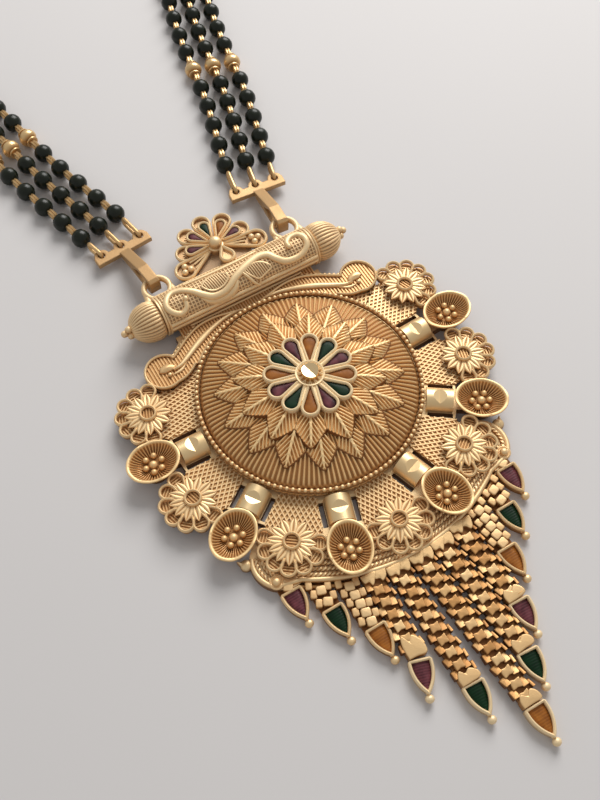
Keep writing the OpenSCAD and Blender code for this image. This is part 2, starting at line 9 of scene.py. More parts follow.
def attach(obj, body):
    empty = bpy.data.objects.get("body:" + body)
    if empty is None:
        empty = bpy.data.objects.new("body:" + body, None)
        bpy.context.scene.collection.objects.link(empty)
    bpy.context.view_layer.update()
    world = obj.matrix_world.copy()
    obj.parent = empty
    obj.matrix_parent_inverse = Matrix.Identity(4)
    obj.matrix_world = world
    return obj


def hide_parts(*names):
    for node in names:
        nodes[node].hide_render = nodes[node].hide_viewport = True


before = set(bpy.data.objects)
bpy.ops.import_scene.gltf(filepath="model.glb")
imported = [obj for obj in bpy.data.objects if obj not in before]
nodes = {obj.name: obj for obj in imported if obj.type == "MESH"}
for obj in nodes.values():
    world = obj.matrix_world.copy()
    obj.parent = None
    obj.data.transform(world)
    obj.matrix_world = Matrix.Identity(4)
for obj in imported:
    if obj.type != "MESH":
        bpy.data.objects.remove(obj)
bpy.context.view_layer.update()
print("frame loaded with", len(nodes), "nodes")

# Shapes on grids


def xyz(x, y, z):
    # Numbers or arrays put together on a last axis
    return np.stack(np.broadcast_arrays(x, y, z), -1)


def gridFaces(rows, columns, wrapRows=False):
    # Point (i, j) meets (i+1, j), (i+1, j+1) and (i, j+1); the last column meets the first one
    i = np.arange(rows if wrapRows else rows - 1)[:, None]
    j = np.arange(columns)[None, :]
    row, nextRow, nextColumn = i * columns, (i + 1) % rows * columns, (j + 1) % columns
    corners = np.broadcast_arrays(row + j, nextRow + j, nextRow + nextColumn, row + nextColumn)
    return np.stack(corners, -1).reshape(-1, 4)


def outward(points, quads, tris, low):
    # Six times the volume = sum of p0 . (p1 x p2) over the triangles. Where it is negative, every face is
    # turned over
    corners = np.concatenate([quads[:, [0, 1, 2]], quads[:, [0, 2, 3]], tris])
    p = points[corners] - points.mean(0)
    if np.einsum("ij,ij->i", p[:, 0], np.cross(p[:, 1], p[:, 2])).sum() < 0:
        quads, tris = quads[:, ::-1], tris[:, ::-1]
    return dict(points=points, quads=quads, tris=tris, low=np.array(np.broadcast_to(low, len(points)), float))


def tubes(rows, low, closed, poles=None, poleLow=None):
    # Several tubes at once, each one a row of closed loops of points; two poles close the ends of an open
    # one. low is painted shade by how deep a point lies in a recess, from 0 on the tops to 1 at the bottom
    k, n, m = rows.shape[:3]
    points, low = rows.reshape(k, n * m, 3), np.broadcast_to(low, (k, n, m)).reshape(k, n * m)
    tris = np.zeros((0, 3), int)
    if not closed:
        j = np.arange(m)
        following, last = (j + 1) % m, (n - 1) * m
        tris = np.concatenate([np.stack([np.full(m, n * m), j, following], 1),
                               np.stack([np.full(m, n * m + 1), last + following, last + j], 1)])
        points = np.concatenate([points, poles], 1)
        low = np.concatenate([low, poleLow], 1)
    step = np.arange(k)[:, None, None] * points.shape[1]
    quads = (gridFaces(n, m, closed) + step).reshape(-1, 4)
    return outward(points.reshape(-1, 3), quads, (tris + step).reshape(-1, 3), low.ravel())


def loft(rows, low=0.0, wrap=False, poles=None):
    # One tube; by default its poles are the middles of its first and last loops
    rows = np.asarray(rows, float)
    low = np.broadcast_to(low, rows.shape[:2])
    ends = rows[[0, -1]].mean(1) if poles is None else np.array(poles, float)
    return tubes(rows[None], low, wrap, ends[None], low[[0, -1]].mean(1)[None])


def wires(paths, radius, sides=6, closed=False, up=(0, 0, 1), flat=1.0, shade=(0.0, 0.8)):
    # A round profile carried along each path: path + radius * (cos a * side + flat * sin a * top)
    paths = np.asarray(paths, float)
    paths = paths[None] if paths.ndim == 2 else paths
    k, n = paths.shape[:2]
    along = np.roll(paths, -1, 1) - np.roll(paths, 1, 1) if closed else np.gradient(paths, axis=1)
    along /= np.linalg.norm(along, axis=-1, keepdims=True)
    side = np.cross(along, up)
    side /= np.linalg.norm(side, axis=-1, keepdims=True)
    top = np.cross(side, along)
    a = 2 * np.pi * (np.arange(sides) + 0.5 * (sides % 2)) / sides + np.pi / 2
    thick = np.broadcast_to(radius, (k, n))[:, :, None, None]
    ring = np.cos(a)[:, None] * side[:, :, None] + flat * np.sin(a)[:, None] * top[:, :, None]
    low = shade[0] + (shade[1] - shade[0]) * (0.5 - 0.5 * np.sin(a))
    return tubes(paths[:, :, None] + thick * ring, low, closed, paths[:, [0, -1]], np.full((k, 2), shade[0]))


def lathe(stations, count, wrap=False, poles=None):
    # Circles round the Z axis, one for each radius, height and low of the stations
    radius, height, low = np.array(stations, float).T[:, :, None]
    a = 2 * np.pi * np.arange(count) / count
    return loft(xyz(radius * np.cos(a), radius * np.sin(a), height), low, wrap, poles)


def balls(centres, radius, sides=10, rings=6, squash=1.0, shade=(0.0, 0.8)):
    # centre + radius * (sin b cos a, sin b sin a, squash * cos b)
    b = np.pi * np.arange(1, rings) / rings
    low = shade[0] + (shade[1] - shade[0]) * (0.5 - 0.5 * np.cos(b))
    stations = np.stack([np.sin(b), squash * np.cos(b), low], 1)
    return copies(lathe(stations, sides, poles=[(0, 0, squash), (0, 0, -squash)]), centres, scales=radius)


def copies(part, spots, turns=0.0, scales=1.0):
    # scale * (point turned about Z) + spot, for every spot at once
    spots = np.atleast_2d(np.asarray(spots, float))
    x, y, z = part["points"].T
    k = len(spots)
    turns, scales = np.broadcast_to(np.radians(turns), k), np.broadcast_to(scales, k)
    c, s = np.cos(turns)[:, None], np.sin(turns)[:, None]
    points = (xyz(c * x - s * y, s * x + c * y, z) * scales[:, None, None] + spots[:, None]).reshape(-1, 3)
    step = np.arange(k)[:, None, None] * len(x)
    return dict(points=points, quads=(part["quads"] + step).reshape(-1, 4),
                tris=(part["tris"] + step).reshape(-1, 3), low=np.tile(part["low"], k))


def around(part, turns, spot=(0, 0, 0)):
    # The same part at each angle about the Z axis
    return copies(part, np.tile(spot, (len(turns), 1)), turns)


def evenly(part, count, first=0.0):
    # Copies at equal angles round the whole circle
    return around(part, first + np.arange(count) * 360 / count)


def mirrored(part):
    # x becomes -x, and each face turns over to point outwards again
    return dict(points=part["points"] * [-1, 1, 1], quads=part["quads"][:, ::-1],
                tris=part["tris"][:, ::-1], low=part["low"])


def bent(part, rule):
    # Every point goes through one rule for its place
    return outward(rule(part["points"]), part["quads"], part["tris"], part["low"])


def merged(*parts):
    steps = np.cumsum([0] + [len(p["points"]) for p in parts])
    return dict(points=np.concatenate([p["points"] for p in parts]),
                quads=np.concatenate([p["quads"] + s for p, s in zip(parts, steps)]),
                tris=np.concatenate([p["tris"] + s for p, s in zip(parts, steps)]),
                low=np.concatenate([p["low"] for p in parts]))


def both(part):
    return merged(part, mirrored(part))


def pad(outline, bottom, top, bevel=0.2, crown=0.0, shade=(0.0, 0.8)):
    # An outline raised into a cushion: walls, a rounded edge that draws in by the bevel, and a crowned top
    outline = np.asarray(outline, float)
    middle = outline.mean(0)
    out = outline - middle
    reach = np.linalg.norm(out, axis=1, keepdims=True)
    inset = [0, 0, 0.3 * bevel, bevel, bevel + 0.1]
    rows = [middle + out * (1 - np.minimum(d / reach, 0.9)) for d in inset] + [middle + out * 0.3]
    heights = [bottom, top - bevel, top - 0.3 * bevel, top, top + 0.15 * crown, top + 0.9 * crown]
    rows = [atHeight(row, z) for row, z in zip(rows, heights)]
    low = np.array([shade[1], 0.6 * shade[1], shade[0], shade[0], shade[0], shade[0]])[:, None]
    return loft(rows, low, poles=[(*middle, bottom), (*middle, top + crown)])


def dropOutline(root, tip, width, count=22):
    # Teardrop along X: a circle of half the width at the tip and its two tangents from the root
    r = width / 2
    centre = tip - r
    reach = math.pi - math.acos(r / (centre - root))
    a = np.linspace(-reach, reach, count - 5)
    arc = np.stack([centre + r * np.cos(a), r * np.sin(a)], 1)
    share = np.array([1 / 3, 2 / 3, 1, 2 / 3, 1 / 3])[:, None]
    ends = np.array([arc[-1], arc[-1], arc[-1], arc[0], arc[0]])
    return np.concatenate([arc, ends + (np.array([root, 0.0]) - ends) * share])


bandProfile = np.array([(-1, 0), (-0.92, 0.6), (-0.6, 0.95), (0, 1.1), (0.6, 0.95), (0.92, 0.6), (1, 0),
                        (0, -0.4)])


def band(path, widths, base, height, shade=(0.0, 0.8), places=None):
    # A low rounded profile carried along a flat path: path + side * width / 2 * u, base + height * v. The
    # widths hold at the given shares of the path, or at even steps
    places = np.linspace(0, 1, len(widths)) if places is None else places
    width = np.interp(np.linspace(0, 1, len(path)), places, widths)
    along = np.gradient(path, axis=0)
    along /= np.linalg.norm(along, axis=1, keepdims=True)
    side = np.stack([along[:, 1], -along[:, 0]], 1)[:, None]
    half = (width / 2)[:, None]
    u, v = bandProfile.T
    flat = path[:, None] + side * (half * u)[..., None]
    low = shade[0] + (shade[1] - shade[0]) * (1 - np.clip(v, 0, 1))
    return loft(atHeight(flat, base + height * v * np.minimum(1, half / (0.3 * half.max()))), low)


def box(left, right, bottom, top):
    return [(left, bottom), (right, bottom), (right, top), (left, top)]


def circle(radius, count, x=0.0, y=0.0):
    return arcPath(radius, 0, 360 - 360 / count, count, 0, x, y)[:, :2]


def atHeight(flatPath, z):
    # Adds a height, one number or one for each point
    flatPath = np.asarray(flatPath, float)
    return np.concatenate([flatPath, np.broadcast_to(z, flatPath.shape[:-1])[..., None]], -1)


def arcPath(radius, start, end, count, z=0.0, x=0.0, y=0.0):
    a = np.radians(np.linspace(start, end, count))
    return xyz(x + radius * np.cos(a), y + radius * np.sin(a), z)


def slab(near, far, bottom, top, low):
    # A flat strip between two paths
    corners = [atHeight(near, bottom), atHeight(far, bottom), atHeight(far, top), atHeight(near, top)]
    return loft(np.stack(corners, 1), low)


def hoop(outline, z, radius, flat=1.0, shade=(0.0, 0.8), sides=8):
    # A closed wire along a flat outline
    return wires(atHeight(outline, z), radius, sides, closed=True, flat=flat, shade=shade)


def ropeStrands(a, twist, radius, z, wire, x=0.0, y=0.0, closed=False):
    # Two strands: radius + 0.8 * wire * cos(twist), z + 0.8 * wire * sin(twist), half a turn apart
    paths = []
    for turn in (twist, twist + np.pi):
        r = radius + 0.8 * wire * np.cos(turn)
        paths.append(xyz(x + r * np.cos(a), y + r * np.sin(a), z + 0.8 * wire * np.sin(turn)))
    return wires(np.stack(paths), wire, 5, closed=closed)


def ropeArc(radius, start, end, z, wire, pitch, x=0.0, y=0.0):
    # A rope from one angle to another, with a strand on top once in every pitch
    length = abs(math.radians(end - start)) * radius
    count = max(8, int(length / pitch * 8))
    a = np.radians(np.linspace(start, end, count))
    return ropeStrands(a, np.linspace(0, np.pi * length / pitch, count), radius, z, wire, x, y)


def smoothPath(knots, count):
    # A curve through the knots: cubic pieces with the slope of each knot's two neighbours
    knots = np.asarray(knots, float)
    n = len(knots)
    slope = np.gradient(knots, axis=0)
    t = np.linspace(0, n - 1, count)
    i = np.minimum(t.astype(int), n - 2)
    u = (t - i)[:, None]
    a, b, da, db = knots[i], knots[i + 1], slope[i], slope[i + 1]
    return (a * (1 + 2 * u) * (1 - u) ** 2 + da * u * (1 - u) ** 2
            + b * u * u * (3 - 2 * u) + db * u * u * (u - 1))


def smoothRing(corners, count):
    # A closed curve through the corners
    return smoothPath(np.concatenate([corners, corners[:1]]), count)[:-1]


def ribbing(count, profile):
    # Angle, height and low of the points of every rib, from the share, height and low of one rib's points
    share, height, low = np.array(profile, float).T
    a = ((np.arange(count)[:, None] + share) * 2 * np.pi / count).ravel()
    return a, np.tile(height, count), np.tile(low, count)


def hatch(outline, angle, pitch, samples=2):
    # Parallel lines at one angle, cut to the parts inside an outline: along each line its crossings with the
    # outline's sides are sorted, and every other pair is a piece
    a = math.radians(angle)
    way, across = np.array([math.cos(a), math.sin(a)]), np.array([-math.sin(a), math.cos(a)])
    outline = np.asarray(outline, float)
    x, y = outline @ way, outline @ across
    x2, y2 = np.roll(x, -1), np.roll(y, -1)
    level = (np.arange(math.ceil(y.min() / pitch), math.floor(y.max() / pitch) + 1) * pitch)[:, None]
    crosses = (y <= level) != (y2 <= level)
    place = x + (level - y) / np.where(crosses, y2 - y, 1) * (x2 - x)
    place = np.sort(np.where(crosses, place, 1e6), axis=1)[:, :4].reshape(-1, 2, 2)
    keep = (place[..., 1] < 1e5) & (place[..., 1] - place[..., 0] > 0.2)
    first, last = place[..., 0][keep], place[..., 1][keep]
    level = np.broadcast_to(level, keep.shape)[keep]
    along = first[:, None] + (last - first)[:, None] * np.linspace(0, 1, samples)
    return along[..., None] * way + level[:, None, None] * across


def net(outline, angles, pitch, radius, z, samples=2, shade=(0.08, 0.6)):
    # Parallel wires over an outline, one family for each angle, the second one a little lower
    families = [atHeight(hatch(outline, angle, pitch, samples), z - 0.06 * k)
                for k, angle in enumerate(angles)]
    return merged(*[wires(family, radius, 5, shade=shade) for family in families])


def makePiece(name, part, finish, slotName, *replaced, sharp=52):
    # Arrays straight into a mesh, in metres, with the depth in its recesses, for painted shade, as an
    # attribute
    mesh = bpy.data.meshes.new(name)
    quads, tris = part["quads"], part["tris"]
    corners = np.concatenate([quads.ravel(), tris.ravel()]).astype(np.int32)
    starts = np.concatenate([np.arange(len(quads)) * 4, len(quads) * 4 + np.arange(len(tris)) * 3])
    mesh.vertices.add(len(part["points"]))
    mesh.vertices.foreach_set("co", (part["points"] * 0.001).astype(np.float32).ravel())
    mesh.loops.add(len(corners))
    mesh.loops.foreach_set("vertex_index", corners)
    mesh.polygons.add(len(starts))
    mesh.polygons.foreach_set("loop_start", starts.astype(np.int32))
    mesh.polygons.foreach_set("use_smooth", np.ones(len(starts), bool))
    mesh.attributes.new("low", "FLOAT", "POINT").data.foreach_set("value", part["low"].astype(np.float32))
    mesh.update(calc_edges=True)
    mesh.set_sharp_from_angle(angle=math.radians(sharp))
    mesh.materials.append(finish)
    piece = bpy.data.objects.new(name, mesh)
    bpy.context.scene.collection.objects.link(piece)
    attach(piece, "root")
    if replaced:
        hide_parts(*replaced)
    counts[name] = 2 * len(quads) + len(tris)


counts = {}

# Finishes


def fillInputs(tree, node, values):
    # An input is linked where its value is a socket of another node, and set where it is a number or a colour
    for key, value in values.items():
        if isinstance(value, bpy.types.NodeSocket):
            tree.links.new(value, node.inputs[key])
        else:
            node.inputs[key].default_value = value


def addNode(tree, kind, values=None, **settings):
    node = tree.nodes.new(kind)
    for key, value in settings.items():
        setattr(node, key, value)
    fillInputs(tree, node, values or {})
    return node


def mixColours(tree, share, a, b, blend="MIX"):
    # The sockets of a mix node for colours go by place: 0 the share, 6 and 7 the colours, 2 the result
    node = addNode(tree, "ShaderNodeMix", {0: share, 6: a, 7: b}, data_type="RGBA", blend_type=blend)
    return node.outputs[2]


def mapRange(tree, value, fromLow, fromHigh, toLow, toHigh):
    values = {"Value": value, "From Min": fromLow, "From Max": fromHigh, "To Min": toLow, "To Max": toHigh}
    return addNode(tree, "ShaderNodeMapRange", values).outputs[0]


def addClouds(tree, coords, scale, detail):
    values = {"Vector": coords["Object"], "Scale": scale, "Detail": detail}
    return addNode(tree, "ShaderNodeTexNoise", values).outputs["Fac"]


def addBump(tree, height, strength, distance):
    return addNode(tree, "ShaderNodeBump", {"Height": height, "Strength": strength, "Distance": distance})


def addPaintedShade(tree):
    # Painted shade: how deep in a recess each point lies, from the meshes
    return addNode(tree, "ShaderNodeAttribute", attribute_name="low").outputs["Fac"]


# Tones for the surface: the middle and recess tones are painted shade, laid on by how deep a point lies
goldTones = dict(
    top=(0.93, 0.69, 0.385, 1), middle=(0.64, 0.36, 0.14, 1), middlePlace=0.42, recessShade=(0.2, 0.074, 0.017, 1),
    blush=(0.95, 0.76, 0.6, 1), blushMost=0.18, cream=(0.96, 0.78, 0.5, 1), cloudScale=160.0,
    grainScale=5200.0, grainDepth=0.00003)


def makeGoldGroup(tones):
    # Colour runs from the bright tops to brown painted shade in the recesses, with slow redder clouds over it
    group = bpy.data.node_groups.new("gold surface", "ShaderNodeTree")
    for label, kind in (("Colour", "Color"), ("Wear", "Float"), ("Grain", "Float")):
        group.interface.new_socket(label, in_out="OUTPUT", socket_type=f"NodeSocket{kind}")
    coords = addNode(group, "ShaderNodeTexCoord").outputs
    cloud = addClouds(group, coords, tones["cloudScale"], 4.0)
    ramp = addNode(group, "ShaderNodeValToRGB", {"Fac": addPaintedShade(group)})
    ramp.color_ramp.elements[0].color = tones["top"]
    ramp.color_ramp.elements[1].color = tones["recessShade"]
    ramp.color_ramp.elements.new(tones["middlePlace"]).color = tones["middle"]
    share = mapRange(group, cloud, 0.42, 0.7, 0.0, tones["blushMost"])
    colour = mixColours(group, share, ramp.outputs["Color"], tones["blush"], "MULTIPLY")
    grain = addClouds(group, coords, tones["grainScale"], 3.0)
    addNode(group, "NodeGroupOutput", {"Colour": colour, "Wear": cloud, "Grain": grain})
    return group


def newMaterial(name):
    # A material, its node tree, its shader and its coordinates
    material = bpy.data.materials.new(name)
    material.use_nodes = True
    tree = material.node_tree
    return material, tree, tree.nodes["Principled BSDF"], addNode(tree, "ShaderNodeTexCoord").outputs


def makeMetal(name, rough, tint, bump, metallic, pale=0.0, edge=0.0, walls=0.0):
    # Metal with the shared gold surface. Its roughness swings with the clouds, pale mixes in the cream tone
    # as painted brightness, edge rounds off the look of sharp corners, and walls is the share of the recess
    # tone laid on upright faces as painted shade
    material, tree, shader, coords = newMaterial(name)
    surface = addNode(tree, "ShaderNodeGroup", node_tree=goldSurface).outputs
    colour = mixColours(tree, 1.0, surface["Colour"], (*tint, 1), "MULTIPLY")
    # Painted brightness: a share of cream over the colour
    if pale:
        colour = mixColours(tree, pale, colour, goldTones["cream"])
    # Painted shade: upright faces take the recess tone
    if walls:
        upright = addNode(tree, "ShaderNodeSeparateXYZ", {"Vector": coords["Normal"]}).outputs["Z"]
        colour = mixColours(tree, mapRange(tree, upright, 0.1, 0.7, walls, 0.0), colour, goldTones["recessShade"])
    rise = addBump(tree, surface["Grain"], bump, goldTones["grainDepth"])
    if edge:
        corner = addNode(tree, "ShaderNodeBevel", {"Radius": edge}, samples=6)
        fillInputs(tree, rise, {"Normal": corner.outputs[0]})
    fillInputs(tree, shader, {"Base Color": colour, "Metallic": metallic, "Normal": rise.outputs[0],
                              "Roughness": mapRange(tree, surface["Wear"], 0.3, 0.7, *rough)})
    return material


def makeEnamel(name, deep, bright):
    # Glossy enamel with painted light: paler on its crown, deeper along its walls, with small clouds in the
    # glass
    material, tree, shader, coords = newMaterial(name)
    cloud = addClouds(tree, coords, 900.0, 5.0)
    values = {0: addPaintedShade(tree), 1: cloud, 2: cloud}
    share = addNode(tree, "ShaderNodeMath", values, operation="MULTIPLY_ADD").outputs[0]
    colour = mixColours(tree, mapRange(tree, share, 0.35, 1.0, 0.0, 1.0), bright, deep)
    fillInputs(tree, shader, {"Base Color": colour, "Normal": addBump(tree, cloud, 0.25, 0.00005).outputs[0],
                              "Roughness": 0.42, "Specular IOR Level": 0.13, "Coat Weight": 0.05,
                              "Coat Roughness": 0.15})
    return material


def makeCloudy(name, scale, detail, first, second, rough, specular):
    # Slow clouds between two colours and between two values of roughness
    material, tree, shader, coords = newMaterial(name)
    cloud = addClouds(tree, coords, scale, detail)
    swing = mapRange(tree, cloud, 0.0, 1.0, *rough)
    fillInputs(tree, shader, {"Base Color": mixColours(tree, cloud, first, second), "Roughness": swing,
                              "Specular IOR Level": specular})
    return material


goldSurface = makeGoldGroup(goldTones)
# In this table cream is painted brightness, and walls is painted shade on upright faces
metals = dict(  # roughness from and to, tint, strength of the grain, metallic, cream, radius of edges, walls
    satin=((0.4, 0.54), (1, 1, 1), 0.35, 0.6),
    dome=((0.46, 0.58), (1, 0.96, 0.88), 0.3, 0.45),
    cup=((0.4, 0.54), (1, 0.96, 0.88), 0.3, 0.52),
    polished=((0.2, 0.32), (1, 1, 1), 0.12, 0.95),
    spoke=((0.34, 0.46), (0.97, 0.97, 0.94), 0.2, 0.8, 0.1),
    wire=((0.26, 0.38), (0.82, 0.77, 0.68), 0.15, 0.6),
    pale=((0.38, 0.52), (1, 1, 1), 0.2, 0.5, 0.22),
    rim=((0.4, 0.54), (1, 1, 1), 0.2, 0.3, 0.5),
    bar=((0.4, 0.54), (1, 0.98, 0.95), 0.3, 0.36, 0.26),
    chain=((0.38, 0.52), (0.82, 0.76, 0.68), 0.4, 0.65),
    hammered=((0.42, 0.56), (0.56, 0.48, 0.41), 1.0, 0.65, 0.0, 0.0003),
    plate=((0.4, 0.54), (1, 1, 1), 0.35, 0.6, 0.0, 0.0, 0.9))
enamels = dict(  # deep tone, bright tone
    orange=((0.17, 0.052, 0.01, 1), (0.36, 0.13, 0.022, 1)),
    green=((0.001, 0.009, 0.003, 1), (0.003, 0.028, 0.008, 1)),
    maroon=((0.03, 0.006, 0.01, 1), (0.165, 0.047, 0.058, 1)))
gold = {name: makeMetal(f"{name} gold", *values) for name, values in metals.items()}
enamel = {name: makeEnamel(f"{name} enamel", *values) for name, values in enamels.items()}
# Black glass with a faint green cast
blackBead = makeCloudy("black glass", 700.0, 4.0, (0.003, 0.004, 0.002, 1), (0.012, 0.017, 0.009, 1),
                       (0.22, 0.36), 0.3)
print("finishes ready")

# Dome with its leaves

domeCast = dict(
    topZ=5.9, ballRadius=44.12, seatZ=1.25, ribs=132, ribRise=0.2, gutter=15.35, wall=15.6, underside=9.0,
    rimRadius=16.0, rimZ=3.1, beads=120, beadRadius=0.32, railWire=0.32, railDrop=0.35, ropeRadius=15.85,
    ropeZ=1.75, ropeWire=0.2, ropeTurns=54)
# Leaf ring: leaves, tip, root, half width, length of the tip's taper, lift over the dome
leafRings = [(16, 13.55, 6.6, 2.2, 2.9, 0.24), (12, 10.75, 3.6, 2.3, 2.8, 0.62)]
leafVein = dict(pitch=0.88, slope=1.6, rise=0.17, midrib=0.24, midribRise=0.22, tipPower=0.78, shadowHem=0.13,
                shadowHemRise=0.17)


def domeZ(r):
    return domeCast["topZ"] - domeCast["ballRadius"] + np.sqrt(domeCast["ballRadius"] ** 2 - np.square(r))


def ribbedDome(d):
    # z = sphere(r) + rib profile(angle) * fade(r): narrow ridges, wide valleys, and a gutter inside the rim
    a, rib, valley = ribbing(d["ribs"], [
        (0.0, -0.9, 0.85), (0.2, -0.75, 0.7), (0.35, 0.55, 0.05), (0.5, 1.0, 0.0), (0.65, 0.55, 0.05),
        (0.8, -0.75, 0.7)])
    stations = np.array([  # radius, height over the sphere, rib share, low
        (3.0, 0, 0, 0.4), (6.0, 0, 0, 0.4), (6.6, 0, 1, 0), (8.5, 0, 1, 0), (10.5, 0, 1, 0), (12.5, 0, 1, 0),
        (14.0, 0, 1, 0), (14.7, -0.02, 1, 0), (15.1, -0.1, 1, 0.1), (d["gutter"], -0.3, 0.6, 0.5),
        (d["wall"], -0.5, 0, 1), (d["wall"], -1.2, 0, 1)])
    r, dip, fade, low = stations.T[:, :, None]
    dome = domeZ(np.minimum(r, d["gutter"]))
    rows = xyz(r * np.cos(a), r * np.sin(a), dome + dip + d["ribRise"] * fade * rib)
    # low is painted shade in the rib valleys, the gutter and the wall
    low = np.maximum(low, fade * valley)
    under = [xyz(r * np.cos(a), r * np.sin(a), d["seatZ"]) for r in (d["wall"], d["underside"])]
    return loft(np.concatenate([rows, under]), np.concatenate([low, np.ones((2, len(a)))]))


def leaf(count, tip, root, halfWidth, taper, lift, s):
    # Rows run along the veins: place = start + slope * |v| along the leaf, v across it, so each vein is one
    # row. Half width = the smaller of halfWidth * (distance from the tip / taper)^tipPower and the leaf's
    # part of the ring. Height = dome + lift + crown * (1 - (v / half width)^2) + vein ridge + midrib
    steps = np.array([0.0, 0.22, 0.4, 0.6, 0.78])
    veins = int((tip - root) / s["pitch"])
    start = tip - (veins - (np.arange(veins)[:, None] + steps).ravel()) * s["pitch"]
    ridge = np.tile([-1.0, -0.7, 0.8, 0.8, -0.7], veins)
    valley = np.tile([0.6, 0.48, 0.0, 0.0, 0.48], veins)
    # Width where the vein that starts here meets the edge, found by a few steps of substitution
    edge = np.full(len(start), 1.0)
    for _ in range(30):
        along = start + s["slope"] * edge
        shape = halfWidth * np.clip((tip - along) / taper, 0, 1) ** s["tipPower"]
        edge = 0.6 * edge + 0.4 * np.maximum(np.minimum(shape, along * math.tan(math.pi / count)), 0.02)
    across = np.array([-1, -1, -0.94, -0.55, -0.2, -0.08, 0.08, 0.2, 0.55, 0.94, 1, 1])
    depth = np.array([-0.35, -0.05, 0.7, 1, 1, 0, 0, 1, 1, 0.7, -0.05, -0.35])
    v = across * edge[:, None]
    v[:, 4], v[:, 5] = -np.minimum(s["midrib"], edge * 0.5), -np.minimum(0.15, edge * 0.3)
    v[:, 6], v[:, 7] = -v[:, 5], -v[:, 4]
    x = np.minimum(start[:, None] + s["slope"] * np.abs(v), tip)
    crown = 0.1 * (1 - np.clip(np.abs(across), 0, 1) ** 2)
    middle = np.isin(np.arange(12), [5, 6])
    z = lift * np.clip((x - 4.2) / 3.2, 0.1, 1) + crown + domeZ(np.hypot(x, v))
    z = z + np.where(middle, s["midribRise"], s["rise"] * ridge[:, None] * np.clip(depth, 0, 1))
    # The outermost points lie on the ribs, a little outside the leaf, as its dark edge of painted shadow
    shadowHem = np.isin(np.arange(12), [0, 11])
    v[:, shadowHem] *= 1 + s["shadowHem"] / np.maximum(edge, 0.3)[:, None]
    x[:, shadowHem] += 0.1
    z[:, shadowHem] = domeZ(np.hypot(x, v))[:, shadowHem] + s["shadowHemRise"]
    # Painted shade in the vein valleys and on the edge points; the midrib stays bright
    low = np.where(middle, 0.0, valley[:, None] * np.clip(depth, 0, 1)) + (depth < 0) * 1.0
    return loft(xyz(x, v, z), np.clip(low, 0, 1))


def makeDome(d):
    # Ribs, leaves, the rail under the beads and the rope below it
    # The rail is coloured dark, as painted shade under the beads
    z = d["rimZ"] - d["railDrop"]
    rail = hoop(circle(d["rimRadius"], 108), z, d["railWire"], shade=(0.7, 1.0), sides=6)
    angle = np.linspace(0, 2 * np.pi, 480, endpoint=False)
    rope = ropeStrands(angle, d["ropeTurns"] * angle, d["ropeRadius"], d["ropeZ"], d["ropeWire"], closed=True)
    leaves = [evenly(leaf(*ring, leafVein), ring[0]) for ring in leafRings]
    return merged(ribbedDome(d), *leaves, rail, rope)


def makeRimBeads(d):
    return evenly(balls([(d["rimRadius"], 0, d["rimZ"])], d["beadRadius"]), d["beads"])


makePiece("domeCast", makeDome(domeCast), gold["dome"], "gold_satin", "dome")
makePiece("rimBeads", makeRimBeads(domeCast), gold["satin"], "gold_satin")
print("dome made")

# Centre flower and enamel fills

flower = dict(seatZ=5.6, seatTop=6.36, seatRadius=5.2, petals=12, root=1.15, tip=6.62, width=2.76, rimZ=6.6,
              rimWire=0.23, floorBase=5.7, floorZ=6.2, fillZ=6.45)
# Collar round the stud: radius, height, low; its wide lip meets the petals, and its wall falls inwards
collarStations = [(1.3, 5.9, 1), (2.05, 6.0, 1), (2.12, 6.75, 0.2), (2.04, 6.98, 0), (1.88, 6.98, 0),
                  (1.5, 6.5, 0.25), (1.3, 6.15, 0.8)]
petalWeb = [(1.9, -0.2), (3.6, -0.2), (4.5, -0.12), (4.5, 0.12), (3.6, 0.2), (1.9, 0.2)]


def makeFlower(f):
    # A rim over a floor for each petal, webs between them, the seat and the collar
    path = dropOutline(f["root"], f["tip"] - f["rimWire"], f["width"] - 2 * f["rimWire"], 30)
    rim = hoop(path, f["rimZ"], f["rimWire"], 1.3, (0.0, 0.3))
    outline = dropOutline(f["root"], f["tip"] - 0.1, f["width"] - 0.1)
    floor = pad(outline, f["floorBase"], f["floorZ"], 0.1, shade=(0.15, 0.5))
    seat = pad(circle(f["seatRadius"], 48), f["seatZ"], f["seatTop"], 0.1, shade=(0.1, 0.5))
    web = pad(petalWeb, 6.0, 6.72, 0.08, shade=(0, 0.3))
    return merged(seat, evenly(floor, f["petals"]), evenly(rim, f["petals"]), evenly(web, f["petals"], 15),
                  lathe(collarStations, 40, wrap=True))


# Crest place and petal angles, and the fringe's columns, repeat the source's values
crest = dict(x=0.0, y=27.9, z=3.3, angles=[12, 51, 90, 129, 168],
             colours=["maroon", "orange", "green", "maroon", "maroon"], outerTip=6.35, outerWidth=2.6,
             root=0.6, cellRoot=0.9, cellTip=4.8, cellWidth=1.9, fillZ=4.5, sideAngles=[-17, 197],
             sideTip=8.05, sideWidth=3.3, hatchPlace=3.9, hubRadius=1.02, hubFoot=1.3, hubRise=1.55,
             rimRise=0.75, rimWire=0.23, floorRise=0.4, cellRise=1.2, cellWire=0.2, sideWire=0.26)
fringe = dict(skirtRadius=28.05, columnStep=3.42, length=22.8, dropWidth=2.95, dropLength=4.5, shoulder=0.8,
              ballRadius=0.6, stretch=1.08, fillZ=1.12)
# Column, share of the length, lean of the chain, lean of the drop, colour
columns = [
    (-5, 0.057, 0, 0, "maroon"), (-4, 0.16, 0, 0, "green"), (-3, 0.3, 0, 0, "orange"),
    (-2, 0.515, -4, -18, "maroon"), (-1, 0.745, -1, -4.5, "green"), (0, 1, 3, -1.5, "orange"),
    (1, 0.75, 3.4, -6, "green"), (2, 0.53, 2.5, -4, "maroon"),
    (3, 0.3, 0, 0, "orange"), (4, 0.16, 0, 0, "green"), (5, 0.057, 0, 0, "maroon")]


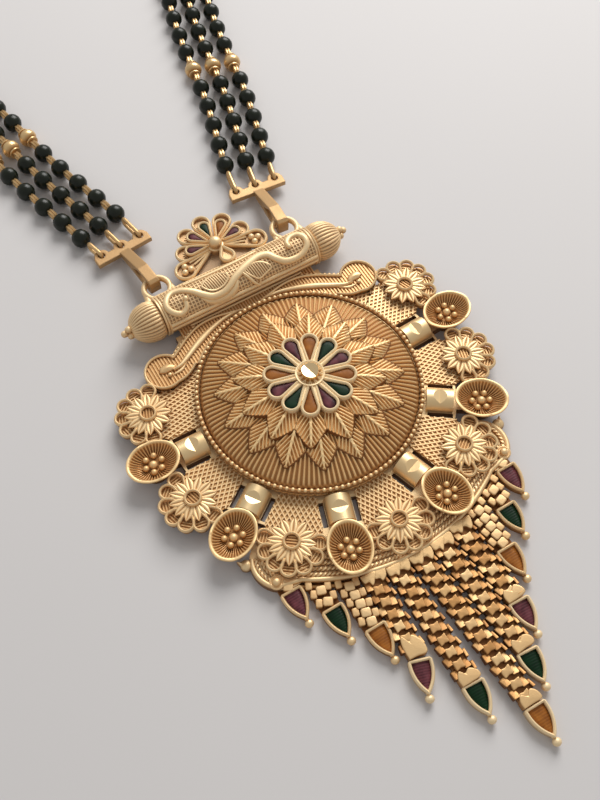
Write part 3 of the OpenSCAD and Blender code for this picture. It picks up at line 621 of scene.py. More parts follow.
def chainStart(column):
    x = column * fringe["columnStep"]
    return np.array([x, -math.sqrt(fringe["skirtRadius"] ** 2 - x * x), 0.0])


def placeDrop(part, row):
    # Down the leaning chain from the skirt's edge, then turned by the drop's own lean
    column, share, chainLean, dropLean, _ = row
    turn = dropLean - chainLean
    room = 0.05 + fringe["dropWidth"] / 2 * math.sin(math.radians(abs(turn)))
    lean = math.radians(chainLean)
    down = -(share * fringe["length"] + room)
    spot = chainStart(column) + down * np.array([-math.sin(lean), math.cos(lean), 0])
    return copies(bent(part, lambda p: p * [fringe["stretch"], 1, 1]), [spot], dropLean)


def shieldHalf(y, inset):
    # Half width at a depth y under the shoulders: sqrt(radius^2 - (y + shoulder)^2) - c, one circle a side
    w, shoulder = fringe["dropWidth"], fringe["shoulder"]
    c = ((fringe["dropLength"] - shoulder) ** 2 - w * w / 4) / w
    arc = (c + w / 2 - inset) ** 2 - np.minimum(y + shoulder, 0) ** 2
    return np.maximum(np.sqrt(np.maximum(arc, 0)) - c, 0)


def shieldOutline(inset):
    # Down the right side, the point, and up the left side; the shoulders are cut a little
    share = np.concatenate([[0.0], np.linspace(0.03, 1, 19)])
    y = -inset - (fringe["dropLength"] - 1.9 * inset) * share
    half = shieldHalf(y, inset)
    half[0] *= 0.93
    right = np.stack([half[:-1], y[:-1]], 1)
    return np.concatenate([right, [[0, y[-1]]], right[::-1] * [-1, 1]])


def ribbedFill(inset, z, ribs):
    # Enamel of a drop in cross ribs: a row across at each depth, height = z + 0.035 * profile(depth), and the
    # edges dip by 0.25
    share = (np.arange(ribs)[:, None] + [0.0, 0.3, 0.6]).ravel() / ribs
    profile = np.tile([0.0, 1.0, 0.8], ribs)
    y = -inset - (fringe["dropLength"] - 2.3 * inset) * share
    half = np.maximum(shieldHalf(y, inset), 0.04)[:, None]
    u = np.array([-1, -0.9, -0.45, 0, 0.45, 0.9, 1, 0.6, -0.6])
    v = np.array([0, 0.6, 1, 1, 1, 0.6, 0, 0, 0])
    height = z - 0.25 + v * (0.25 + 0.035 * profile[:, None])
    # Painted light: the rib crests paler, the edges in full painted shade
    low = np.where(v > 0.5, 0.55 - 0.5 * profile[:, None], 1.0)
    return loft(xyz(half * u, y[:, None], height), low)


def enamelFill(outline, z, rise, spine):
    # Rows draw the outline in towards a spine point and rise to it
    spine = np.asarray(spine, float)
    stations = [(1.0, z - 0.25), (1.0, z - 0.1), (0.97, z), (0.85, z + 0.45 * rise), (0.6, z + 0.85 * rise),
                (0.3, z + rise)]
    rows = [atHeight(spine + (outline - spine) * share, height) for share, height in stations]
    # Painted shade, deepest at the edge and palest at the crown
    low = np.array([1, 1, 0.9, 0.7, 0.35, 0.1])[:, None]
    return loft(rows, low, poles=[(*spine, z - 0.25), (*spine, z + rise)])


def makeEnamels(colour, firstPetal):
    # The petals of the centre flower, of the crest and of the drops that have this colour
    f, c = flower, crest
    outline = dropOutline(f["root"] + 0.78, f["tip"] - 0.42, f["width"] - 0.84, 26)
    parts = [evenly(enamelFill(outline, f["fillZ"], 0.12, (5.1, 0)), 4, firstPetal)]
    outline = dropOutline(c["cellRoot"] + 0.8, c["cellTip"] - 0.3, c["cellWidth"] - 0.6, 20)
    cell = enamelFill(outline, c["fillZ"], 0.12, (3.6, 0))
    parts += [around(cell, [angle], (c["x"], c["y"], 0)) for angle, name in zip(c["angles"], c["colours"])
              if name == colour]
    fill = ribbedFill(0.33, fringe["fillZ"], 11)
    parts += [placeDrop(fill, row) for row in columns if row[4] == colour]
    return merged(*parts)


stud = dict(radius=1.2, foot=6.05, top=7.84, wall=0.5, cut=0.33, slope=0.25, turn=12)


def makeStud(s):
    # Rings of a short cylinder whose top is a valley: height = top - cut + slope * |distance to its line|
    a = 2 * np.pi * np.arange(72) / 72
    r = s["radius"] * np.array([0.9, 1.0, 1.0, 0.97, 0.8, 0.55, 0.3, 0.12])[:, None]
    x, y = r * np.cos(a), r * np.sin(a)
    turn, bottom = math.radians(s["turn"]), s["top"] - s["cut"]
    valley = bottom + s["slope"] * np.abs(x * math.cos(turn) + y * math.sin(turn))
    most = np.array([s["foot"], s["foot"], s["top"] - s["wall"], *[np.inf] * 5])[:, None]
    return loft(xyz(x, y, np.minimum(most, valley)), 0.0, poles=[(0, 0, s["foot"]), (0, 0, bottom)])


makePiece("centreStud", makeStud(stud), gold["polished"], "gold_polished", "centre_stud", sharp=25)
makePiece("petalRims", makeFlower(flower), gold["rim"], "gold_satin", "centre_flower")
for k, colour in enumerate(("maroon", "green", "orange")):
    slotName = f"enamel_{colour}"
    makePiece(f"{colour}Fills", makeEnamels(colour, 30.0 * k), enamel[colour], slotName, slotName)
print("centre flower and enamel made")

# Ring of ornaments

ringStep = 18.4
rosetteAngles = -90 + ringStep * 2 * (np.arange(7) - 3)
cupAngles = -90 + ringStep * 2 * (np.arange(6) - 2.5)
rosette = dict(
    orbit=23.0, loopTurns=[-95, -63, -31, 0, 31, 63, 95], loopRoot=1.5, loopTip=4.95, loopMore=-0.1,
    loopWidth=2.5, loopWire=0.22, loopZ=0.95, cellZ=0.4, rays=12, rayRoot=0.95, rayTip=3.35, rayHalf=0.7,
    rayZ=1.15, rayRise=0.22, baseRadius=2.3, baseZ=1.0, ringRadius=1.06, ringZ=1.5, ringWire=0.21,
    floorRadius=1.0, floorZ=1.22,
    # Bars: distance from the loop's tip or place along X, half length
    loopBars=[(1.95, 0.6), (1.55, 0.78), (1.15, 0.8), (0.75, 0.7)],
    ringBars=[(-0.6, 0.55), (-0.2, 0.8), (0.2, 0.8), (0.6, 0.55)])
cup = dict(orbit=24.3, halfLong=3.83, halfWide=3.08, height=1.95, ribs=42, ribRise=0.1, granule=0.47,
           granuleOrbit=1.25, middleGranule=0.62)
spoke = dict(orbit=16.6, halfWidth=1.9, length=3.8, sunk=0.15, notch=0.95, depth=0.42)
ornamentZ = 1.25


def makeRay(root, tip, half, base, height):
    # Pointed petal with two ridges: width follows a sine of the share, and the section across it is an M
    t = np.linspace(0, 1, 9)
    width = half * np.maximum(np.sin(np.pi * (0.2 + 0.8 * t ** 1.3)), 0.05)
    u = np.array([-1, -0.85, -0.5, -0.14, 0, 0.14, 0.5, 0.85, 1, 0.6, -0.6])
    h = np.array([-0.6, 0.6, 1, 0.75, 0.2, 0.75, 1, 0.6, -0.6, -0.9, -0.9])
    depth = np.array([0.8, 0.25, 0.05, 0.1, 0.55, 0.1, 0.05, 0.25, 0.8, 1, 1])
    x = root + (tip - root) * t[:, None]
    rows = xyz(x, width[:, None] * u, base + height * h * (1 - 0.3 * t[:, None]))
    return loft(rows, depth)


def crossBars(places, z, wire, shade):
    # Straight wires across X, each at its place and with its half length
    return wires([[(x, -w, z), (x, w, z)] for x, w in places], wire, 5, shade=shade)


def makeRosette(r):
    # Outer loops with cross bars over cells in painted shade, a ring of rays, and a middle ring over four
    # bars and a floor that is painted shade too
    parts = []
    for turn in r["loopTurns"]:
        tip = r["loopTip"] + r["loopMore"] * math.cos(math.radians(turn))
        outline = dropOutline(r["loopRoot"], tip - r["loopWire"], r["loopWidth"] - 2 * r["loopWire"], 20)
        rim = hoop(outline, r["loopZ"], r["loopWire"], 1.6, (0.0, 0.35))
        floor = pad(outline, 0.0, r["cellZ"], 0.05, shade=(0.6, 0.8))
        places = [(tip - x, w) for x, w in r["loopBars"]]
        parts.append(around(merged(rim, floor, crossBars(places, 0.46, 0.14, (0.2, 0.7))), [turn]))
    parts += [evenly(makeRay(r["rayRoot"], r["rayTip"], r["rayHalf"], r["rayZ"], r["rayRise"]), r["rays"]),
              pad(circle(r["baseRadius"], 32), 0.0, r["baseZ"], 0.15, shade=(0.7, 0.95)),
              hoop(circle(r["ringRadius"], 24), r["ringZ"], r["ringWire"], 1.6, (0.0, 0.35)),
              pad(circle(r["floorRadius"], 16), 0.9, r["floorZ"], 0.05, shade=(0.8, 1.0)),
              crossBars(r["ringBars"], 1.26, 0.11, (0.3, 0.8))]
    return merged(*parts)


def makeCup(c):
    # Stations from the middle of the bowl, over the lip and down to the foot; ribs follow the angle
    stations = np.array([  # share of the radius, height share, rib share, low
        (0.12, 0.24, 0, 0.7), (0.34, 0.25, 0, 0.7), (0.40, 0.28, 1, 0.3), (0.58, 0.38, 1, 0.25),
        (0.74, 0.56, 1, 0.2), (0.84, 0.80, 0.8, 0.15), (0.875, 0.95, 0, 0.1), (0.93, 1.0, 0, 0),
        (0.985, 0.97, 0, 0), (1.0, 0.88, 0, 0.15), (0.885, 0.56, 0, 0.6), (0.55, 0.0, 0, 1)])
    a, rib, groove = ribbing(c["ribs"], [
        (0.0, -1.0, 1.0), (0.22, -0.4, 0.75), (0.4, 1.0, 0.0), (0.6, 1.0, 0.0), (0.78, -0.4, 0.75)])
    share, height, ribbed, low = stations.T[:, :, None]
    wave = 0.07 * np.sin(5 * a + 1.0) + 0.04 * np.sin(9 * a)
    z = height * c["height"] + c["ribRise"] * ribbed * rib + wave * np.clip(height - 0.7, 0, 1) * 2
    rows = xyz(share * c["halfLong"] * np.cos(a), share * c["halfWide"] * np.sin(a), z)
    # low paints shade into the bowl, under the lip and in the rib grooves
    bowl = loft(rows, np.clip(low + (0.95 - low) * ribbed * groove, 0, 1))
    ring = arcPath(c["granuleOrbit"], 8, 308, 6, 0.9)
    return merged(bowl, balls(ring, c["granule"], 12, 8, shade=(0.1, 0.9)),
                  balls([(0.1, 0.05, 0.75)], c["middleGranule"], 14, 10, squash=1.1, shade=(0.0, 0.6)))


def makeSpoke(s):
    # A half round along X with a valley across its top. The rows bend to the valley's pointed edge, whose
    # half length = notch * (1 - drop / depth), where drop tells how far the round lies under its crown
    halfWidth, notch, depth = s["halfWidth"], s["notch"], s["depth"]
    a = np.linspace(-0.5 * np.pi, 0.5 * np.pi, 49)
    drop = halfWidth * (1 - np.cos(a))
    reach = np.maximum(1 - drop / depth, 0.02)
    outer = np.array([0, 0.25, 0.5, 0.75, 1.0])[:, None]
    inner = np.array([-0.66, -0.33, 0.0, 0.33, 0.66])[:, None]
    middle = s["length"] / 2
    plain = outer * (middle - notch * reach)
    x = np.concatenate([plain, middle + inner * notch * reach, middle + notch * reach + plain])
    crown = halfWidth * np.cos(a)
    outside = np.maximum(crown - s["sunk"], 0) + 0 * outer
    cutIn = np.maximum(np.minimum(halfWidth - depth * (1 - np.abs(inner) * reach), crown) - s["sunk"], 0)
    return loft(xyz(x, halfWidth * np.sin(a), np.concatenate([outside, cutIn, outside])))


def ringPieces(name, part, angles, orbit, finish, slotName, node, sharp=52):
    # A piece of its own at each angle round the medallion
    for k, angle in enumerate(angles):
        placed = around(part, [angle], arcPath(orbit, angle, angle, 1, ornamentZ)[0])
        makePiece(f"{name}{k + 1}", placed, finish, slotName, f"{node}_{k + 1}", sharp=sharp)


ringPieces("rosette", makeRosette(rosette), rosetteAngles, rosette["orbit"], gold["satin"], "gold_satin",
           "rosette")
ringPieces("cup", makeCup(cup), cupAngles, cup["orbit"], gold["cup"], "gold_satin", "cup")
ringPieces("spoke", makeSpoke(spoke), cupAngles, spoke["orbit"], gold["spoke"], "gold_polished", "tube",
           sharp=15)
print("rosettes, cups and spokes made")

# Nets and ropes on the back plate

plateTrim = dict(
    topZ=1.2, netTurns=(32, -32), netPitch=0.6, netWire=0.16, skirtRadius=28.0,
    skirtRopes=(0.95, 1.7, 2.45, 3.2), lobeX=16.07, lobeY=-19.43, lobeRadius=4.1, lobeRopes=(0.95, 1.75),
    ropeWire=0.19, ropePitch=0.62, borderInset=0.36, borderWire=0.38, stripTop=18.95, stripWireHalf=9.5,
    stripWireY=18.35, beadX=2.05, beadY=-2.5, beadRadius=0.62, beadRing=0.85, budX=4.6, budY=1.9,
    budTurn=-35)
# Fans between the slots, from the dome's wall to the rosette
fan = np.array([(16.0, -2.55), (20.7, -3.9), (23.4, -2.6), (23.4, 2.6), (20.7, 3.9), (16.0, 2.55)])
# Beside the outermost rosettes the net goes on under the scroll
shoulder = np.array([(16.1, 2.3), (20.2, 3.7), (18.94, 3.9), (17.85, 4.6), (17.25, 5.45), (17.0, 6.4),
                     (14.9, 6.1), (15.5, 4.3)])
scroll = dict(
    x=16.5, y=13.15, radius=2.72, seatZ=1.25, floorRise=0.7, rimRadius=16.65,
    granules=[(9.35, 17.85), (14.15, 15.05)],
    edge=[(1.4, 16.62), (3.6, 17.2), (6.0, 17.65), (8.6, 17.5), (11.0, 16.55), (13.0, 15.35), (14.3, 14.55)],
    under=[(15.3, 10.6), (14.0, 10.85), (12.8, 11.45), (11.9, 12.1)],
    neck=[(12.2, 11.9), (14.0, 10.85), (15.5, 10.7), (15.3, 15.2), (14.2, 14.7), (13.0, 13.5)],
    tendril=[(2.0, 16.85), (4.7, 16.75), (7.5, 16.0), (10.1, 14.9), (12.3, 13.7), (13.9, 12.9), (15.2, 12.7)],
    fold=[(12.9, 12.9), (14.2, 12.2), (15.4, 12.05)],
    leafPad=[(14.6, 13.1), (15.1, 12.75), (16.4, 12.75), (17.2, 13.15), (16.9, 13.9), (15.9, 14.15),
             (15.0, 13.75)])


def netPad(outline, t):
    # Crossed wires over a pad coloured as painted shade, darker still on its walls
    return merged(net(outline, t["netTurns"], t["netPitch"], t["netWire"], t["topZ"] + 0.2),
                  pad(outline, t["topZ"] - 0.2, t["topZ"] + 0.08, 0.02, shade=(0.45, 1.0)))


def makeTrim(t):
    z, soft = t["topZ"] + 0.2, (0.0, 0.5)
    parts = [around(netPad(fan, t), rosetteAngles), both(around(netPad(shoulder, t), [rosetteAngles[-1]]))]
    # Hatched strip between the scrolls and the bar
    low = smoothPath(scroll["edge"], 40)[:28]
    low = np.concatenate([low[::-1] * [-1, 1], [(0.0, 16.5)], low])
    high = low * [1, 0] + [0, t["stripTop"]]
    across = np.linspace(-t["stripWireHalf"], t["stripWireHalf"], 3)
    parts += [slab(low, high, z - 0.2, z + 0.3, 0.4),
              net(np.concatenate([low, high[::-1]]), (90,), 0.45, 0.15, z + 0.36, shade=soft),
              wires(xyz(across, t["stripWireY"], z + 0.5), 0.2, 6, shade=soft)]
    # Rope rows and border wires along the bottom, round both corners
    for inset in t["skirtRopes"]:
        parts.append(ropeArc(t["skirtRadius"] - inset, -124, -56, z, t["ropeWire"], t["ropePitch"]))
    x, y, r = t["lobeX"], t["lobeY"], t["lobeRadius"]
    for inset in t["lobeRopes"]:
        parts.append(both(ropeArc(r - inset, -62, 30, z, t["ropeWire"], t["ropePitch"], x, y)))
    border = np.concatenate([arcPath(t["skirtRadius"] - t["borderInset"], -90, -57, 30, t["topZ"] + 0.1),
                             arcPath(r - t["borderInset"], -52, 30, 20, t["topZ"] + 0.1, x, y)])
    # Domed bead in its ring, and a small leaf bud
    bud = pad(dropOutline(-0.9, 1.1, 1.2, 16)[:, ::-1] * [1, -1], 0.35, 1.5, 0.35, 0.2)
    beadX, beadY = x + t["beadX"], y + t["beadY"]
    corner = merged(wires(border, t["borderWire"], 8),
                    balls([(beadX, beadY, t["topZ"] + 0.45)], t["beadRadius"], 12, 8),
                    hoop(circle(t["beadRing"], 18, beadX, beadY), t["topZ"] + 0.3, 0.2, sides=6),
                    copies(bud, [(x + t["budX"], y + t["budY"], 0)], t["budTurn"]))
    return merged(*parts, both(corner))


makePiece("plateTrim", makeTrim(plateTrim), gold["satin"], "gold_satin")
print("nets and ropes made")

# Scrolls on the medallion's shoulders


def makeScroll(s):
    # One sunk field from the bar to the round lobe; all of its hatch runs along Y, and a wire borders it
    # dark holds the painted shade of the sunk floors
    z, dark, soft = s["seatZ"], (0.56, 0.75), (0.0, 0.6)
    floor = z + s["floorRise"]
    edge = smoothPath(s["edge"], 40)
    turn = arcPath(s["radius"], 146, -112, 40, 0, s["x"], s["y"])[:, :2]
    border = np.concatenate([edge, turn[1:], smoothPath(s["under"], 10)[1:]])
    back = arcPath(s["rimRadius"], 46, 84, 30)[:, :2]
    # Floor in parts: between the rim and the edge, the lobe and the neck
    inner = s["rimRadius"] * edge / np.linalg.norm(edge, axis=1, keepdims=True)
    parts = [slab(inner, edge, z, floor, 0.6),
             pad(circle(s["radius"], 36, s["x"], s["y"]), z, floor, 0.1, shade=dark),
             pad(s["neck"], z, z + 0.69, 0.05, shade=dark),
             net(np.concatenate([border, back]), (90,), 0.47, 0.15, z + 0.74, shade=(0.25, 0.65)),
             wires(atHeight(border, z + 0.98), 0.21, 8, flat=1.2, shade=soft),
             wires(atHeight(back, z + 0.85), 0.15, 6, shade=soft)]
    # Tendril, widest in its middle, that ends in a pad; a small ball and a fold lie under the pad
    parts += [band(smoothPath(s["tendril"], 48), [0.3, 0.6, 1.1, 0.85, 0.5, 0.35], z + 0.75, 0.5, (0.0, 0.5),
                   [0, 0.15, 0.45, 0.7, 0.9, 1]),
              band(smoothPath(s["fold"], 12), [0.15, 0.6, 0.3], floor, 0.35),
              pad(s["leafPad"], z + 0.6, z + 1.2, 0.25, 0.2, shade=(0.2, 0.6)),
              balls([(16.0, 12.2, z + 1.0)], 0.36, 12, 8)]
    # Granules outside the border
    granules = atHeight(np.linspace(*s["granules"], 9), floor)
    return merged(*parts, balls(granules, 0.3, 8, 6))


scrollPart = makeScroll(scroll)
makePiece("scrollRight", scrollPart, gold["satin"], "gold_satin", "scroll_right")
makePiece("scrollLeft", mirrored(scrollPart), gold["satin"], "gold_satin", "scroll_left")
print("scrolls made")

# Top bar

bar = dict(y=21.2, z=3.1, radius=2.9, half=12.3, collarWidth=0.7, capLength=4.7, capRibs=32, capRise=0.1,
           granule=0.55, ringX=11.05, ringY=26.0, ringRadius=1.98, ringWire=0.44, reach=3.65, netHalf=12.2,
           netPitch=0.52, netWire=0.12, edgeHalf=12.4, edges=[(3.65, 0.33), (-3.65, 0.33), (4.4, 0.27)])


def onBar(p):
    # The plane wrapped on the bar: x stays, y is the arc length from the crown to the medallion, z the height
    phi = p[:, 1] / bar["radius"]
    r = bar["radius"] + p[:, 2]
    return xyz(p[:, 0], bar["y"] - r * np.sin(phi), bar["z"] + r * np.cos(phi))


barBands = [  # knots (along the bar, round it), width at even steps, height
    ([(-9.0, 1.1), (-9.4, 2.1), (-10.4, 2.5), (-11.5, 1.8), (-11.9, 0.8), (-11.4, -0.2), (-10.4, -0.9),
      (-9.0, -0.7), (-7.5, 0.3), (-6.3, 1.4), (-5.1, 2.2), (-3.6, 2.35), (-2.3, 2.0), (-1.1, 1.3), (0.3, 0.7),
      (2.0, 0.1), (3.8, -0.3), (5.2, 0.1), (6.0, 1.1), (7.2, 2.1), (8.9, 2.4), (10.4, 2.1), (11.4, 1.3),
      (11.6, 0.1), (10.9, -0.9), (9.7, -1.0), (8.8, -0.2), (8.8, 0.7)],
     [0.6, 0.75, 0.8, 0.8, 0.75, 0.8, 0.95, 0.95, 0.9, 1.0, 1.05, 0.95, 0.9, 0.8, 0.8, 0.8, 0.75, 0.6], 0.5),
    ([(-0.6, 1.4), (-1.5, 2.6), (-2.9, 3.2), (-4.5, 3.15), (-5.8, 2.6), (-6.7, 1.8)],
     [0.3, 0.9, 1.2, 1.1, 0.7, 0.2], 0.34),
    ([(0.4, 0.9), (1.0, 1.9), (1.6, 3.0), (2.35, 3.75)], [0.3, 0.45, 0.45, 0.2], 0.42),
    ([(2.35, 3.75), (2.7, 2.7)], [0.3, 0.25], 0.3),
    ([(-8.0, -1.6), (-4.0, -1.35), (0.0, -1.3), (4.0, -1.5)], [0.4, 0.5, 0.5, 0.4], 0.3)]
barLeaves = [
    [(-5.9, 0.4), (-5.1, 1.3), (-4.0, 1.6), (-2.6, 1.35), (-1.6, 0.45), (-2.7, -0.35), (-4.3, -0.5),
     (-5.3, -0.15)],
    [(0.9, 1.0), (1.9, 2.3), (2.6, 2.7), (3.7, 2.4), (4.8, 2.0), (4.3, 1.2), (3.2, 0.6), (1.9, 0.5)]]
barWeb = [(-5.2, 23.4), (5.2, 23.4), (4.4, 25.6), (1.6, 27.2), (-1.6, 27.2), (-4.4, 25.6)]
# Collar of a cap: radius, distance from the bar's end, low
capCollar = [(2.6, 0.0, 1), (2.95, 0.0, 0.3), (3.02, 0.1, 0), (3.0, 0.25, 0.1), (2.9, 0.36, 0.8),
             (3.0, 0.46, 0.1), (3.02, 0.62, 0), (2.92, 0.7, 0.3), (2.4, 0.7, 1)]


def makeBar(b):
    # The round body, a fine net over its top, frame wires, smooth bands and two hatched leaves
    a = 2 * np.pi * np.arange(64) / 64
    x = np.linspace(-b["half"] - 0.2, b["half"] + 0.2, 30)[:, None]
    core = b["radius"] - 0.03
    # The body is coloured as painted shade, a little paler on its side towards the medallion
    body = loft(xyz(x, b["y"] - core * np.sin(a), b["z"] + core * np.cos(a)), 0.9 - 0.35 * (np.sin(a) > 0.9))
    reach, soft = b["reach"], (0.0, 0.5)
    patch = np.array(box(-b["netHalf"], b["netHalf"], -reach, reach))
    parts = [net(patch, (90, 0), b["netPitch"], b["netWire"], 0.05, samples=15)]
    for y, wire in b["edges"]:
        parts.append(wires(xyz(np.linspace(-b["edgeHalf"], b["edgeHalf"], 20), y, 0.05), wire, 8, shade=soft))
    for knots, widths, height in barBands:
        parts.append(band(smoothPath(knots, 8 * len(knots)), 1.2 * np.array(widths), 0.02, height, soft))
    for outline in barLeaves:
        corners = np.array(outline)[::-1]
        parts += [pad(corners, -0.1, 0.26, 0.1, shade=(0.7, 1.0)),
                  net(corners, (78,), 0.36, 0.11, 0.32, samples=6, shade=(0.0, 1.0)),
                  hoop(smoothRing(corners, 40), 0.3, 0.15, sides=6)]
    # Knobs where the bands' ends curl in
    parts.append(balls([(-8.9, 0.9, 0.35), (8.7, 0.5, 0.35)], 0.42))
    # Web behind the bar, under the crest's petals, dark as painted shade
    web = pad(barWeb, 2.9, 3.5, 0.1, shade=(1.0, 1.0))
    return merged(body, web, bent(merged(*parts), onBar))


def makeCaps(b):
    # Radius = radius(station) + capRise * rise(station) * rib(angle)
    a, rib, groove = ribbing(b["capRibs"], [
        (0, -1.0, 1.0), (0.25, 0.4, 0.3), (0.5, 1.0, 0.0), (0.75, 0.4, 0.3)])
    share = np.array([0.0, 0.02, 0.12, 0.3, 0.5, 0.68, 0.82, 0.93, 1.0, 1.0])[:, None]
    radius = np.array([0.7, 0.90, 0.985, 1.02, 0.985, 0.88, 0.72, 0.54, 0.36, 0.1])[:, None] * b["radius"]
    rise = np.array([0, 0.4, 1, 1, 1, 1, 0.9, 0.6, 0.2, 0])[:, None]
    r = radius + b["capRise"] * rise * rib
    start = b["half"] + b["collarWidth"]
    tip = start + b["capLength"]
    rows = xyz(start + share * b["capLength"], b["y"] + r * np.cos(a), b["z"] + r * np.sin(a))
    cap = loft(rows, np.clip(rise * groove + (share < 0.01) * 1.0, 0, 1))
    collar = bent(lathe(capCollar, 48), lambda p: p[:, [2, 0, 1]] + [b["half"], b["y"], b["z"]])
    ring = arcPath(0.62, 90, 330, 3)[:, [2, 0, 1]] + [tip + 0.3, b["y"], b["z"]]
    granules = balls([*ring, (tip + 1.05, b["y"], b["z"])], b["granule"], 12, 8)
    return both(merged(cap, collar, granules))


def makeBarRings(b):
    # Thick ring: a round wire, with two feet that flare into the bar
    x, y, z, soft = b["ringX"], b["ringY"], b["z"], (0.0, 0.5)
    parts = [hoop(circle(b["ringRadius"], 36, x, y), z, b["ringWire"], 1.35, soft, 10)]
    for side in (1, -1):
        foot = [(x + side * out, y - down, z) for out, down in ((2.0, 0.2), (2.15, 1.6), (2.75, 2.9))]
        parts.append(wires(smoothPath(foot, 8), np.linspace(0.4, 0.75, 8), 8, shade=soft))
    return both(merged(*parts))


barPart = merged(makeBar(bar), makeCaps(bar), makeBarRings(bar))
makePiece("topBar", barPart, gold["bar"], "gold_satin", "top_bar")
print("top bar made")

# Crest


def makeCrest(c):
    # Five petals with a rim, a cell and a hatched floor each, two long side petals, the hub and a lobe
    # dark is the painted shade of the floors
    z, centre, soft, dark = c["z"], (c["x"], c["y"], 0), (0.0, 0.6), (0.6, 1.0)
    rimZ, floorZ, cellZ = z + c["rimRise"], z + c["floorRise"], z + c["cellRise"]
    outer = dropOutline(c["root"], c["outerTip"] - 0.2, c["outerWidth"], 26)
    cell, cellFloor = [dropOutline(c["cellRoot"], c["cellTip"] - 0.15, c["cellWidth"] - less, 22)
                       for less in (0.3, 0.2)]
    q = np.radians(np.arange(-100, 101, 20))
    way, middle = xyz(np.cos(q), np.sin(q), 0), np.array([c["hatchPlace"], 0, z + 0.48])
    petal = merged(
        hoop(outer, rimZ, c["rimWire"], 1.3, soft), pad(outer, z, floorZ, 0.05, shade=dark),
        hoop(cell, cellZ, c["cellWire"], 1.4, soft), pad(cellFloor, z + 0.3, z + 1.0, 0.1, shade=dark),
        wires(np.stack([middle + 0.75 * way, middle + 1.25 * way], 1), 0.1, 5, shade=(0.2, 1.0)))
    outer = dropOutline(c["root"], c["sideTip"] - 0.2, c["sideWidth"] - 0.3, 30)
    spines = [[(1.2, 0, z + 0.7), (4.6, 0, z + 0.62)], [(1.2, 0.1, z + 0.7), (4.9, 0.75, z + 0.6)],
              [(1.2, -0.1, z + 0.7), (4.9, -0.75, z + 0.6)]]
    sidePetal = merged(
        hoop(outer, rimZ, c["sideWire"], 1.3, soft), pad(outer, z, floorZ, 0.05, shade=(0.7, 1.0)),
        wires(spines, 0.18), balls(arcPath(0.6, 20, 260, 3, z + 0.8, 6.1), 0.52, 12, 8))
    # Small lobe on the bar's shoulder: a ring round a hollow in painted shade
    lobe = dropOutline(-1.6, 1.35, 2.0, 22)[:, ::-1] * [1, -1] + [0.4, c["y"] - 2.9]
    return merged(
        around(petal, c["angles"], centre), around(sidePetal, c["sideAngles"], centre),
        balls([(c["x"], c["y"], z + c["hubRise"])], c["hubRadius"], 20, 12),
        pad(circle(c["hubFoot"], 20, c["x"], c["y"]), z, cellZ, 0.2),
        hoop(lobe, z + 1.75, 0.3, 1.4, (0.0, 0.5)), pad(lobe, z, z + 1.6, 0.2, shade=(0.3, 0.8)))


makePiece("crestFan", makeCrest(crest), gold["pale"], "gold_satin", "crest")
print("crest made")

# Fringe, chains and drops

chance = np.random.default_rng(11)
castColumn = dict(pitch=1.4, start=28.3, side=1.08, backHalf=1.4, lean=0.8, least=0.9, swing=5, wire=0.3,
                  wireRadius=28.4, wireReach=20, foot=0.4, big=(0.66, 0.6), bigTop=1.55, small=(0.45, 0.56),
                  smallTop=1.36)
dropFrame = dict(rimInset=0.2, rimZ=1.2, rimWire=0.22, floorInset=0.1, floorZ=0.95, ball=0.56, knob=0.3,
                 ballZ=0.75, knobStep=0.72)
# Column of links in a woven chain: place across, shift along in pitches, half width, half length, low
weave = dict(pitch=1.76, first=1.4, coreHalf=1.2, coreTop=0.95, waist=0.2, tip=0.27, swing=9, foot=0.4,
             plateTop=1.42, saddleTop=1.62,
             columns=[(-1.24, 0.0, 0.45, 0.6, 0.3), (-0.26, 0.5, 0.66, 0.62, 0.1),
                      (0.66, 0.65, 0.47, 0.6, 0.3), (1.35, 0.0, 0.2, 0.6, 0.42)])


def cutCorners(halfX, halfY, share=0.3):
    c = share * min(halfX, halfY)
    return np.array([(halfX, -halfY + c), (halfX, halfY - c), (halfX - c, halfY), (-halfX + c, halfY),
                     (-halfX, halfY - c), (-halfX, -halfY + c), (-halfX + c, -halfY), (halfX - c, -halfY)])


def makeDropFrame(d):
    # A rim round the enamel, its floor, a small knob at the point and a ball under it
    y = -fringe["dropLength"] - fringe["ballRadius"] + 0.2
    return merged(hoop(shieldOutline(d["rimInset"]), d["rimZ"], d["rimWire"], 1.5, (0.0, 0.35)),
                  pad(shieldOutline(d["floorInset"]), 0.0, d["floorZ"], 0.1, shade=(0.6, 0.9)),
                  balls([(0, y, d["ballZ"])], d["ball"], 14, 10, shade=(0.0, 0.4)),
                  balls([(0, y + d["knobStep"], d["ballZ"])], d["knob"]))


def castPads(row, s):
    # A middle row of big pads and a row of small ones half a step on at each side, over a low back in painted
    # shade
    column, share = row[:2]
    x, length = column * fringe["columnStep"], share * fringe["length"]
    big = pad(cutCorners(*s["big"]), s["foot"], s["bigTop"], 0.13, 0.04, shade=(0.16, 0.9))
    small = pad(cutCorners(*s["small"]), s["foot"], s["smallTop"], 0.12, 0.03, shade=(0.25, 0.9))
    parts = []
    bottom = chainStart(column)[1] - length
    for dx, shift, one in ((-s["side"], 0.08, small), (0.0, 0.5, big), (s["side"], 0.08, small)):
        # The first pads follow the skirt's edge, and each row leans with it
        start = -math.sqrt(s["start"] ** 2 - (x + dx) ** 2)
        lean = math.degrees(math.asin((x + dx) / s["start"])) * s["lean"]
        room = start - bottom
        count = max(1, round(room / s["pitch"])) if room > s["least"] else 0
        for j in range(count):
            spot = (x + dx, start - (j + shift) * room / count - 0.1, 0)
            parts.append(copies(one, [spot], lean + chance.uniform(-s["swing"], s["swing"])))
    back = box(x - s["backHalf"], x + s["backHalf"], bottom - 0.1, bottom + length + 0.1)
    return merged(*parts, pad(back, 0.0, 0.6, 0.1, shade=(1.0, 1.0)))


